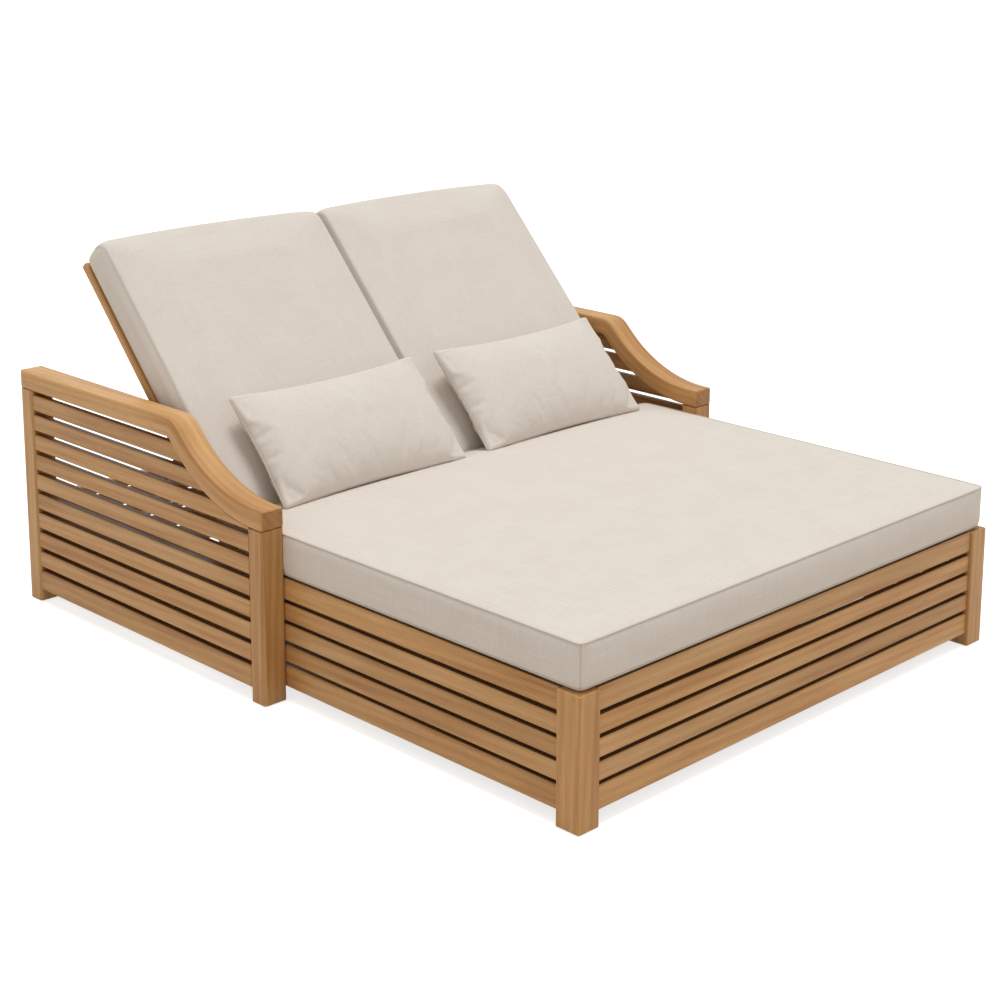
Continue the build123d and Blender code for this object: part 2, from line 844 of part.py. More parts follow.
def build():
    """Makes every sub-part and writes it."""
    os.makedirs("parts", exist_ok=True)
    for end, boards in (
        ("foot", cross_boards(base_x - foot_post_width, foot_panel_y, 1, seat_height)),
        ("head", cross_boards(rail_inner_x, head_panel_y, -1, ledger_top)),
    ):
        top, slats, bottom = boards
        save(f"{end}_top_rail", top)
        save(f"{end}_slats", *slats)
        save(f"{end}_bottom_rail", bottom)
    save("head_corner_posts", corner_post(-1), corner_post(1))
    save("centre_beam", centre_beam())
    save("centre_leg", centre_leg())
    save("hinge_beam", hinge_beam())
    save("deck_slats", *deck_slats())
    save("arm_bolts", *arm_bolts())
    save("floor_glides", *floor_glides())
    save("outer_racks", outer_rack(-1), outer_rack(1))
    save("inner_racks", inner_rack(-1), inner_rack(1))
    save("seat_cushion", seat_cushion())
    save(
        "hinge_brackets",
        *[hinge_bracket(side, *stile_side) for side in (-1, 1) for stile_side in stile_sides()],
    )
    for side, name in ((-1, "left"), (1, "right")):
        side_top, side_slat_set, side_bottom = side_boards(side)
        front_post, back_post = arm_posts(side)
        save(f"foot_post_{name}", foot_post(side))
        save(f"side_top_rail_{name}", side_top)
        save(f"side_slats_{name}", *side_slat_set)
        save(f"side_bottom_rail_{name}", side_bottom)
        save(f"arm_front_post_{name}", front_post)
        save(f"arm_back_post_{name}", back_post)
        save(f"arm_top_rail_{name}", arm_top_rail(side))
        save(f"arm_slats_{name}", *arm_slats(side))
        save(f"arm_bottom_rail_{name}", arm_bottom_rail(side))
        save(f"ledger_{name}", ledger(side))
        save(f"back_stiles_{name}", *stiles(side))
        for end, y_low in (("top", back_length - back_rail_width), ("bottom", back_rail_setback)):
            rail = back_cross_member(side, y_low, back_rail_width, back_thickness)
            save(f"back_{end}_rail_{name}", rail)
        save(f"back_slats_{name}", *back_slats(side))
        save(f"pivot_blocks_{name}", *[pivot_block(side, *stile_side) for stile_side in stile_sides()])
        save(f"hinge_pins_{name}", *hinge_pins(side))
        save(f"prop_bolts_{name}", *prop_bolts(side))
        save(f"prop_arms_{name}", *prop_arms(side))
        save(f"prop_bar_{name}", prop_bar(side))
        save(f"back_cushion_{name}", back_cushion(side))
        save(f"pillow_{name}", pillow(side))


build()
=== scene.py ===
"""Double chaise lounger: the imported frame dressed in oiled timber, steel and linen cushions."""

from __future__ import annotations

import bisect
import json
import logging
import math
from dataclasses import dataclass, field
from enum import Enum
from typing import Callable, Iterable, Sequence

import bmesh
import bpy
from mathutils import Matrix, Vector
from mathutils.bvhtree import BVHTree


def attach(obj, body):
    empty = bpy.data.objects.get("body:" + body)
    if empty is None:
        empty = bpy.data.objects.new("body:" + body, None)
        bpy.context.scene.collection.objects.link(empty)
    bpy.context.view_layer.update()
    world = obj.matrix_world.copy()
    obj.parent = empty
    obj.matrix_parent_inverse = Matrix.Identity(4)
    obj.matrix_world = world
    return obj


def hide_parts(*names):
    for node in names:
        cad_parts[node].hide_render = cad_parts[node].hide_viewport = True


LOG = logging.getLogger("lounger")
IMAGE_SIZE = 1000
SENSOR_WIDTH = 36.0
WEAVE_ATTRIBUTE = "weave_place"
GRAIN_ATTRIBUTE = "grain_place"

# Rails whose top and bottom faces get painted shade, for the dark gaps between boards and under the
# cushion
GAP_SHADE_PAINTED_RAILS = (
    "foot_", "side_top_rail", "side_bottom_rail", "arm_bottom_rail", "head_bottom_rail",
)
# How nearly an edge runs along an axis to count as lying along it
ALIGNED = 0.99
# How near a point lies to a face of a box to count as lying on it
NEAR = 0.0001
# How near two corners of a CAD mesh lie to count as one
MERGED = 0.00002
# How far off the piece a probing ray starts
RAY_START = 1.0
# How far in the middle of a round corner lies, as a share of its radius
ROUND_INSET = 0.29

Triple = tuple[float, float, float]
Colour = tuple[float, float, float, float]

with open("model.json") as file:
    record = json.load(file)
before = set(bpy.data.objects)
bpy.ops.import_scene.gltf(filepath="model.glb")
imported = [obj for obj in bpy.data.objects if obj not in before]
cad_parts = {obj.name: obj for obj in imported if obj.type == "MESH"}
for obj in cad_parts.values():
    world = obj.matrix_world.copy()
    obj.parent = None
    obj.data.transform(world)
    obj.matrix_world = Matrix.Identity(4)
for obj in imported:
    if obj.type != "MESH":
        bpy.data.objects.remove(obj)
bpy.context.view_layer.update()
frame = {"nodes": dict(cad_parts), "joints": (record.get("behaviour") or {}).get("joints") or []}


class Side(Enum):
    """The two halves of the lounger, seen from the foot end."""

    LEFT = -1
    RIGHT = 1

    @property
    def label(self) -> str:
        """The word that node names end in."""
        return self.name.lower()


class Run(Enum):
    """The way that the grain of a node's boards runs."""

    ACROSS = "across"
    ALONG = "along"
    UPRIGHT = "upright"
    BACKREST = "backrest"
    PROP = "prop"


def linear(code: str) -> Colour:
    """Turns a colour written as six hexadecimal digits into scene-linear light.

    Args:
        code: The colour, such as "b8895a".

    Returns:
        Red, green, blue and an alpha of one.
    """
    toe, slope, offset, power = 0.04045, 12.92, 0.055, 2.4
    shares = [int(code[place : place + 2], 16) / 255 for place in (0, 2, 4)]
    curve = [
        share / slope if share <= toe else ((share + offset) / (1 + offset)) ** power
        for share in shares
    ]
    return (curve[0], curve[1], curve[2], 1.0)


def hinge_place() -> Vector:
    """The line that both backrests turn about, at the middle of the lounger."""
    hinge = next(joint for joint in frame["joints"] if joint["name"] == "recline_left")
    return Vector((0.0, hinge["pos_m"][1], hinge["pos_m"][2]))


def backrest_tilt() -> float:
    """How far the raised backrests stand up from the deck, in radians."""
    hinge = next(joint for joint in frame["joints"] if joint["name"] == "recline_left")
    return math.radians(-hinge["range_deg"][0])


def prop_slope() -> float:
    """Measures how steeply the props run down from the backrests.

    Returns:
        The slope in radians.
    """
    points = [vertex.co for vertex in frame["nodes"]["prop_arms_left"].data.vertices]
    high = max(points, key=lambda point: point.z)
    far = max(points, key=lambda point: point.y)
    return math.atan2(high.z - far.z, far.y - high.y)


def backrest_matrix() -> Matrix:
    """Takes a backrest lying flat about its hinge to its raised place."""
    return Matrix.Translation(hinge_place()) @ Matrix.Rotation(backrest_tilt(), 4, "X")


def span_of(points: Sequence[Vector]) -> tuple[Vector, Vector]:
    """Finds the box round points, as its lowest and its highest corner."""
    low = Vector([min(point[axis] for point in points) for axis in range(3)])
    return low, Vector([max(point[axis] for point in points) for axis in range(3)])


def local_box(node: str, place: Matrix) -> tuple[Vector, Vector]:
    """Measures a node in the coordinates of a tilted sub-assembly.

    Args:
        node: The CAD node's name.
        place: Takes the sub-assembly's coordinates to the frame's.

    Returns:
        The lowest and highest corner in those coordinates.
    """
    back = place.inverted()
    return span_of([back @ vertex.co for vertex in frame["nodes"][node].data.vertices])


def only(piece: bpy.types.Object) -> None:
    """Makes one piece the whole selection and the active object.

    Args:
        piece: The piece to select.
    """
    bpy.ops.object.select_all(action="DESELECT")
    piece.select_set(True)
    bpy.context.view_layer.objects.active = piece


def finish_with(piece: bpy.types.Object, kind: str, **settings: object) -> None:
    """Adds a modifier to a piece and applies it.

    Args:
        piece: The piece to change.
        kind: Blender's name of the modifier type.
        **settings: The modifier's values.
    """
    only(piece)
    modifier = piece.modifiers.new(kind.lower(), kind)
    for name, value in settings.items():
        setattr(modifier, name, value)
    bpy.ops.object.modifier_apply(modifier=modifier.name)


def reshape(piece: bpy.types.Object, mover: Callable[[Vector], Vector]) -> None:
    """Moves each vertex of a piece to where a function says.

    Args:
        piece: The piece to change.
        mover: Gives the new place of a point.
    """
    for vertex in piece.data.vertices:
        vertex.co = mover(vertex.co.copy())
    piece.data.update()


def cut_edges(piece: bpy.types.Object, axis: int, cuts: int) -> None:
    """Divides all edges that run along one axis, as loop cuts would.

    Args:
        piece: The piece to divide, a box of quads.
        axis: 0, 1 or 2 for X, Y or Z.
        cuts: How many cuts each edge gets.
    """
    only(piece)
    bpy.ops.object.mode_set(mode="EDIT")
    bpy.ops.mesh.select_mode(type="EDGE")
    bpy.ops.mesh.select_all(action="DESELECT")
    mesh = bmesh.from_edit_mesh(piece.data)
    for edge in mesh.edges:
        run = (edge.verts[1].co - edge.verts[0].co).normalized()
        edge.select = abs(run[axis]) > ALIGNED
    bmesh.update_edit_mesh(piece.data)
    bpy.ops.mesh.subdivide(number_cuts=cuts)
    bpy.ops.object.mode_set(mode="OBJECT")


def plain_box(name: str, centre: Vector, size: Vector) -> bpy.types.Object:
    """Makes a box with its place in its mesh.

    Args:
        name: The new piece's name.
        centre: The box's middle.
        size: The box's size.

    Returns:
        The new piece, at the origin.
    """
    bpy.ops.object.select_all(action="DESELECT")
    bpy.ops.mesh.primitive_cube_add(size=1, location=centre, scale=size)
    piece = bpy.context.object
    piece.name = name
    bpy.ops.object.transform_apply(location=True, rotation=True, scale=True)
    return piece


def grid_box(name: str, low: Vector, high: Vector, cell: float) -> bpy.types.Object:
    """Makes a box whose faces are divided into even cells.

    Args:
        name: The new piece's name.
        low: The box's lowest corner.
        high: The box's highest corner.
        cell: The size that a cell has at most.

    Returns:
        The new piece, at the origin.
    """
    piece = plain_box(name, (low + high) / 2, high - low)
    for axis in range(3):
        cut_edges(piece, axis, max(1, math.ceil((high[axis] - low[axis]) / cell) - 1))
    return piece


def corner_mapped(
    first: float, second: float, corner: tuple[float, float], radius: float
) -> tuple[float, float]:
    """Bends the square at one corner of a rectangle into a quarter round.

    Args:
        first: A point's first coordinate.
        second: Its second coordinate.
        corner: The rectangle's corner, with the sign of each side.
        radius: The radius of the rounded corner.

    Returns:
        The point's two coordinates, moved if it lay in the corner's square.
    """
    centre = tuple(end - math.copysign(radius, end) for end in corner)
    out_first = (first - centre[0]) * math.copysign(1, corner[0])
    out_second = (second - centre[1]) * math.copysign(1, corner[1])
    if out_first <= 0 or out_second <= 0:
        return first, second
    pull = max(out_first, out_second) / math.hypot(out_first, out_second)
    return (
        centre[0] + math.copysign(out_first * pull, corner[0]),
        centre[1] + math.copysign(out_second * pull, corner[1]),
    )


@dataclass(frozen=True)
class Inflation:
    """A cloth simulation that fills a closed piece, with its seams held."""

    pressure: float = 4.0
    frames: int = 20
    quality: int = 5
    cap: float = 0.012
    mass: float = 0.3
    stretch: float = 15.0
    shear_ease: float = 3.0
    bending: float = 0.5
    shrink: float = 0.0

    def run(self, piece: bpy.types.Object, held: Iterable[int]) -> None:
        """Simulates the piece and keeps the result in its mesh.

        Args:
            piece: A closed mesh at the origin.
            held: The vertices that stay where they are.
        """
        rest = [vertex.co.copy() for vertex in piece.data.vertices]
        pins = piece.vertex_groups.new(name="held")
        pins.add(list(held), 1.0, "REPLACE")
        only(piece)
        cloth = piece.modifiers.new("cloth", "CLOTH")
        settings = cloth.settings
        settings.use_pressure = True
        settings.uniform_pressure_force = self.pressure
        settings.effector_weights.gravity = 0
        settings.quality = self.quality
        settings.mass = self.mass
        settings.tension_stiffness = self.stretch
        settings.compression_stiffness = self.stretch
        settings.shear_stiffness = self.stretch / self.shear_ease
        settings.bending_stiffness = self.bending
        settings.shrink_min = self.shrink
        settings.vertex_group_mass = pins.name
        cloth.collision_settings.use_collision = False
        cloth.point_cache.frame_start = 1
        cloth.point_cache.frame_end = self.frames
        for number in range(1, self.frames + 1):
            bpy.context.scene.frame_set(number)
        bpy.ops.object.modifier_apply(modifier=cloth.name)
        bpy.context.scene.frame_set(1)
        piece.vertex_groups.clear()
        self.hold_back(piece, rest)

    def hold_back(self, piece: bpy.types.Object, rest: Sequence[Vector]) -> None:
        """Keeps each point within the cap of where it started.

        Args:
            piece: The filled piece.
            rest: Where its points started.
        """
        farthest = 0.0
        for vertex, start in zip(piece.data.vertices, rest):
            move = vertex.co - start
            farthest = max(farthest, move.length)
            if move.length > self.cap:
                vertex.co = start + move * (self.cap / move.length)
        piece.data.update()
        LOG.info("%s: %d points moved up to %.1f mm", piece.name, len(rest), farthest * 1000)


def tube(
    name: str, points: Sequence[Vector], radius: float, closed: bool, sides: int = 2
) -> bpy.types.Object:
    """Makes a round tube along points.

    Args:
        name: The new piece's name.
        points: The tube's line.
        radius: The tube's radius.
        closed: Whether the line joins up with its start.
        sides: The bevel resolution of the tube.

    Returns:
        The tube as a mesh.
    """
    curve = bpy.data.curves.new(name, "CURVE")
    curve.dimensions = "3D"
    curve.bevel_depth = radius
    curve.bevel_resolution = sides
    curve.use_fill_caps = not closed
    spline = curve.splines.new("POLY")
    spline.points.add(len(points) - 1)
    for slot, point in zip(spline.points, points):
        slot.co = (*point, 1.0)
    spline.use_cyclic_u = closed
    piece = bpy.data.objects.new(name, curve)
    bpy.context.scene.collection.objects.link(piece)
    only(piece)
    bpy.ops.object.convert(target="MESH")
    bpy.ops.object.shade_smooth()
    return bpy.context.object


def surface_of(piece: bpy.types.Object) -> BVHTree:
    """A search tree of a piece's faces."""
    corners = [vertex.co for vertex in piece.data.vertices]
    return BVHTree.FromPolygons(corners, [face.vertices for face in piece.data.polygons])


def laid_on(surface: BVHTree, points: Iterable[Vector], rise: float) -> list[Vector]:
    """Moves points to the nearest place on a surface, raised by a little.

    Args:
        surface: The surface.
        points: The points to move.
        rise: How far above the surface they end.

    Returns:
        The moved points.
    """
    moved = []
    for point in points:
        place, normal, _, _ = surface.find_nearest(point)
        moved.append(place + normal * rise)
    return moved


def smoothed(points: Sequence[Vector], rounds: int, closed: bool) -> list[Vector]:
    """Evens out a line by averaging each point with its neighbours.

    Args:
        points: The line.
        rounds: How many times it is evened out.
        closed: Whether the line joins up with its start.

    Returns:
        The smoother line, with as many points.
    """
    line = list(points)
    count = len(line)
    ends = range(count) if closed else range(1, count - 1)
    for _ in range(rounds):
        middle = {
            index: (line[index - 1] + line[index] * 2 + line[(index + 1) % count]) / 4
            for index in ends
        }
        line = [middle.get(index, line[index]) for index in range(count)]
    return line


def pushed_out(
    piece: bpy.types.Object, neighbour: bpy.types.Object, gap: float, reach: float
) -> None:
    """Presses a soft piece flat where it would lie in a neighbour.

    Args:
        piece: The soft piece.
        neighbour: What it leans on.
        gap: How far apart they end.
        reach: How deep a point may lie in the neighbour and still be found.
    """
    surface = surface_of(neighbour)
    for vertex in piece.data.vertices:
        place, normal, _, distance = surface.find_nearest(vertex.co)
        height = (vertex.co - place).dot(normal)
        if height < gap and distance < reach:
            vertex.co += normal * (gap - height)
    piece.data.update()


def joined(pieces: Sequence[bpy.types.Object]) -> bpy.types.Object:
    """Joins pieces into one.

    Args:
        pieces: The pieces.

    Returns:
        The first one, which holds them all.
    """
    bpy.ops.object.select_all(action="DESELECT")
    for piece in pieces:
        piece.select_set(True)
    bpy.context.view_layer.objects.active = pieces[0]
    bpy.ops.object.join()
    return pieces[0]


def keep_places(piece: bpy.types.Object, name: str, places: Iterable[Sequence[float]]) -> None:
    """Keeps a place for each vertex in an attribute that a material reads."""
    attribute = piece.data.attributes.new(name, "FLOAT_VECTOR", "POINT")
    attribute.data.foreach_set("vector", [value for place in places for value in place])


def dress(piece: bpy.types.Object, material: bpy.types.Material) -> None:
    """Gives a piece one material all over."""
    piece.data.materials.clear()
    piece.data.materials.append(material)


# Shader building


class Graph:
    """A small hand for adding and joining the nodes of one material or group."""

    def __init__(self, tree: bpy.types.NodeTree) -> None:
        """Starts on a node tree."""
        self.tree = tree

    def feed(self, node: bpy.types.Node, inputs: dict[str | int, object]) -> None:
        """Fills a node's inputs.

        Args:
            node: The node.
            inputs: Values or output sockets for its inputs, by name or number.
        """
        for name, value in inputs.items():
            if isinstance(value, bpy.types.NodeSocket):
                self.tree.links.new(value, node.inputs[name])
            else:
                node.inputs[name].default_value = value

    def add(
        self, kind: str, inputs: dict[str | int, object] | None = None, **settings: object
    ) -> bpy.types.Node:
        """Adds a node.

        Args:
            kind: Blender's name of the node type.
            inputs: Values or output sockets for its inputs, by name or number.
            **settings: The node's own properties.

        Returns:
            The new node.
        """
        node = self.tree.nodes.new(kind)
        for name, value in settings.items():
            setattr(node, name, value)
        self.feed(node, inputs or {})
        return node

    def math(self, operation: str, *values: object, clamp: bool = False) -> bpy.types.NodeSocket:
        """Adds a Math node and returns its result."""
        inputs = dict(enumerate(values))
        return self.add("ShaderNodeMath", inputs, operation=operation, use_clamp=clamp).outputs[0]

    def vector(self, operation: str, *values: object) -> bpy.types.NodeSocket:
        """Adds a Vector Math node and returns its result."""
        node = self.add("ShaderNodeVectorMath", dict(enumerate(values)), operation=operation)
        return node.outputs["Value"] if operation == "DOT_PRODUCT" else node.outputs[0]

    def level(self, value: object) -> bpy.types.NodeSocket:
        """Makes one value into a vector that holds it three times."""
        return self.add("ShaderNodeCombineXYZ", {"X": value, "Y": value, "Z": value}).outputs[0]

    def mix(
        self, share: object, first: object, second: object, blend: str = "MIX"
    ) -> bpy.types.NodeSocket:
        """Adds a colour Mix node and returns its result."""
        inputs = {0: share, 6: first, 7: second}
        return self.add("ShaderNodeMix", inputs, data_type="RGBA", blend_type=blend).outputs[2]

    def noise(
        self, place: object, scale: object, detail: float, roughness: float = 0.5
    ) -> bpy.types.NodeSocket:
        """Adds a Noise Texture.

        Args:
            place: The coordinates that it reads.
            scale: Its scale.
            detail: Its detail.
            roughness: How strong the fine detail is.

        Returns:
            Its grey value.
        """
        inputs = {"Vector": place, "Scale": scale, "Detail": detail, "Roughness": roughness}
        return self.add("ShaderNodeTexNoise", inputs).outputs["Fac"]

    def ramp(
        self, value: bpy.types.NodeSocket, stops: Iterable[tuple[float, Colour]]
    ) -> bpy.types.NodeSocket:
        """Adds a Color Ramp.

        Args:
            value: What it turns into a colour.
            stops: The place and colour of each of its stops.

        Returns:
            Its colour.
        """
        node = self.add("ShaderNodeValToRGB", {0: value})
        elements = node.color_ramp.elements
        for index, (position, colour) in enumerate(stops):
            if index == len(elements):
                elements.new(1.0)
            elements[index].position = position
            elements[index].color = colour
        return node.outputs["Color"]


def new_material(name: str) -> tuple[bpy.types.Material, Graph, bpy.types.Node]:
    """Starts a material.

    Args:
        name: The material's name.

    Returns:
        The material, its graph and its shader.
    """
    made = bpy.data.materials.new(name)
    made.use_nodes = True
    return made, Graph(made.node_tree), made.node_tree.nodes["Principled BSDF"]


def group_tree(
    name: str, inputs: Sequence[tuple[str, str, object]], outputs: Sequence[tuple[str, str]]
) -> tuple[Graph, bpy.types.Node, bpy.types.Node]:
    """Starts a shader node group.

    Args:
        name: The group's name.
        inputs: Name, socket type and first value of each input.
        outputs: Name and socket type of each output.

    Returns:
        The group's graph, its input node and its output node.
    """
    tree = bpy.data.node_groups.new(name, "ShaderNodeTree")
    for label, kind, value in inputs:
        socket = tree.interface.new_socket(label, in_out="INPUT", socket_type=kind)
        if value is not None:
            socket.default_value = value
    for label, kind in outputs:
        tree.interface.new_socket(label, in_out="OUTPUT", socket_type=kind)
    graph = Graph(tree)
    return graph, graph.add("NodeGroupInput"), graph.add("NodeGroupOutput")


@dataclass(frozen=True)
class Grain:
    """Sawn timber: growth bands, fibre streaks and pores along the first axis of a board.

    Each stretch says how often a pattern changes in a metre along the board and across it.
    """

    cloud_stretch: Triple = (1.6, 16.0, 16.0)
    cloud_share: float = 0.85
    band_stretch: Triple = (0.035, 1.0, 1.0)
    band_scale: float = 26.0
    band_distortion: float = 4.0
    band_detail_scale: float = 1.4
    band_share: float = 0.11
    fibre_stretch: Triple = (0.02, 1.0, 1.0)
    fibre_scale: float = 260.0
    fibre_roughness: float = 0.65
    fibre_share: float = 0.5
    pore_stretch: Triple = (26.0, 900.0, 900.0)
    pore_limit: float = 0.57
    pore_slope: float = 7.0
    pore_depth: float = -0.8
    tone_shift: float = -0.22

    def group(self) -> bpy.types.NodeTree:
        """Builds the node group.

        Returns:
            The group, with a tone, the pores and a height.
        """
        graph, given, result = group_tree(
            "timber_grain",
            [("Place", "NodeSocketVector", None),
             ("Band Scale", "NodeSocketFloat", self.band_scale),
             ("Fibre Scale", "NodeSocketFloat", self.fibre_scale)],
            [("Tone", "NodeSocketFloat"), ("Pores", "NodeSocketFloat"),
             ("Height", "NodeSocketFloat")],
        )
        place = given.outputs["Place"]
        cloud = graph.noise(graph.vector("MULTIPLY", place, self.cloud_stretch), 1.0, 2.0)
        bands = graph.add(
            "ShaderNodeTexWave",
            {"Vector": graph.vector("MULTIPLY", place, self.band_stretch),
             "Scale": given.outputs["Band Scale"], "Distortion": self.band_distortion,
             "Detail": 2.0, "Detail Scale": self.band_detail_scale, "Detail Roughness": 0.5},
            wave_type="BANDS", bands_direction="DIAGONAL",
        )
        fibre = graph.noise(
            graph.vector("MULTIPLY", place, self.fibre_stretch),
            given.outputs["Fibre Scale"], 4.0, self.fibre_roughness,
        )
        specks = graph.noise(graph.vector("MULTIPLY", place, self.pore_stretch), 1.0, 1.0)
        above = graph.math("SUBTRACT", specks, self.pore_limit)
        pores = graph.math("MULTIPLY", above, self.pore_slope, clamp=True)
        tone = graph.math("MULTIPLY_ADD", cloud, self.cloud_share, self.tone_shift)
        tone = graph.math("MULTIPLY_ADD", bands.outputs["Fac"], self.band_share, tone)
        tone = graph.math("MULTIPLY_ADD", fibre, self.fibre_share, tone)
        height = graph.math("MULTIPLY_ADD", pores, self.pore_depth, fibre)
        graph.feed(result, {"Tone": tone, "Pores": pores, "Height": height})
        return graph.tree


@dataclass(frozen=True)
class BoardTone:
    """Gives each board of an evenly spaced row its own tone and its own stretch of grain."""

    jump: float = 3.7

    def group(self) -> bpy.types.NodeTree:
        """Builds the node group.

        Returns:
            The group, with a tone and the place that the grain reads.
        """
        graph, given, result = group_tree(
            "board_tone",
            [("Place", "NodeSocketVector", None), ("Counted", "NodeSocketVector", None),
             ("Across", "NodeSocketVector", (0.0, 0.0, 1.0)), ("Start", "NodeSocketFloat", 0.0),
             ("Pitch", "NodeSocketFloat", 1.0), ("Seed", "NodeSocketFloat", 0.0)],
            [("Tone", "NodeSocketFloat"), ("Place", "NodeSocketVector")],
        )
        entry = given.outputs
        across = graph.vector("DOT_PRODUCT", entry["Counted"], entry["Across"])
        steps = graph.math("DIVIDE", graph.math("SUBTRACT", across, entry["Start"]), entry["Pitch"])
        number = graph.math("ADD", graph.math("FLOOR", steps), entry["Seed"])
        chance = graph.add("ShaderNodeTexWhiteNoise", {"W": number}, noise_dimensions="1D")
        jump = graph.level(graph.math("MULTIPLY", number, self.jump))
        shifted = graph.vector("ADD", entry["Place"], jump)
        graph.feed(result, {"Tone": chance.outputs["Value"], "Place": shifted})
        return graph.tree


@dataclass(frozen=True)
class Weave:
    """Plain linen weave: threads both ways, slubs and a soft mottling."""

    thread: float = 0.0016
    streak_long: float = 9.0
    streak_thin: float = 420.0
    streak_roughness: float = 0.6
    slub_slope: float = 1.5
    slub_shift: float = -1.8
    mottle_scale: float = 9.0
    thread_height: float = 0.25

    def group(self) -> bpy.types.NodeTree:
        """Builds the node group.

        Returns:
            The group, with the slubs, the mottling and a height.
        """
        graph, given, result = group_tree(
            "linen_weave",
            [("Place", "NodeSocketVector", None), ("Thread", "NodeSocketFloat", self.thread)],
            [("Slub", "NodeSocketFloat"), ("Mottle", "NodeSocketFloat"),
             ("Height", "NodeSocketFloat")],
        )
        place = given.outputs["Place"]
        turns = graph.level(graph.math("DIVIDE", 2 * math.pi, given.outputs["Thread"]))
        phase = graph.add("ShaderNodeSeparateXYZ", {0: graph.vector("MULTIPLY", place, turns)})
        waves = [graph.math("SINE", phase.outputs[axis]) for axis in range(3)]
        flat = graph.math("MULTIPLY", waves[0], waves[1])
        raised = graph.math("MULTIPLY", waves[2], graph.math("ADD", waves[0], waves[1]))
        crossed = graph.math("ADD", flat, raised)
        streaks = []
        for axis in range(3):
            stretch = [self.streak_thin] * 3
            stretch[axis] = self.streak_long
            run = graph.vector("MULTIPLY", place, stretch)
            streaks.append(graph.noise(run, 1.0, 2.0, self.streak_roughness))
        total = graph.math("ADD", graph.math("ADD", streaks[0], streaks[1]), streaks[2])
        slub = graph.math("MULTIPLY_ADD", total, self.slub_slope, self.slub_shift, clamp=True)
        mottle = graph.noise(place, self.mottle_scale, 4.0, 0.6)
        height = graph.math("MULTIPLY_ADD", crossed, self.thread_height, slub)
        graph.feed(result, {"Slub": slub, "Mottle": mottle, "Height": height})
        return graph.tree


@dataclass(frozen=True)
class Rows:
    """A row of boards in one node: how their grain runs, and whether their faces towards a gap get
    painted shade.
    """

    run: Run
    seed: float = 0.0
    across: Triple = (0.0, 0.0, 1.0)
    start: float = 0.0
    pitch: float = 100.0
    # Whether faces towards the next board are darkened as painted shade
    gapped: bool = False


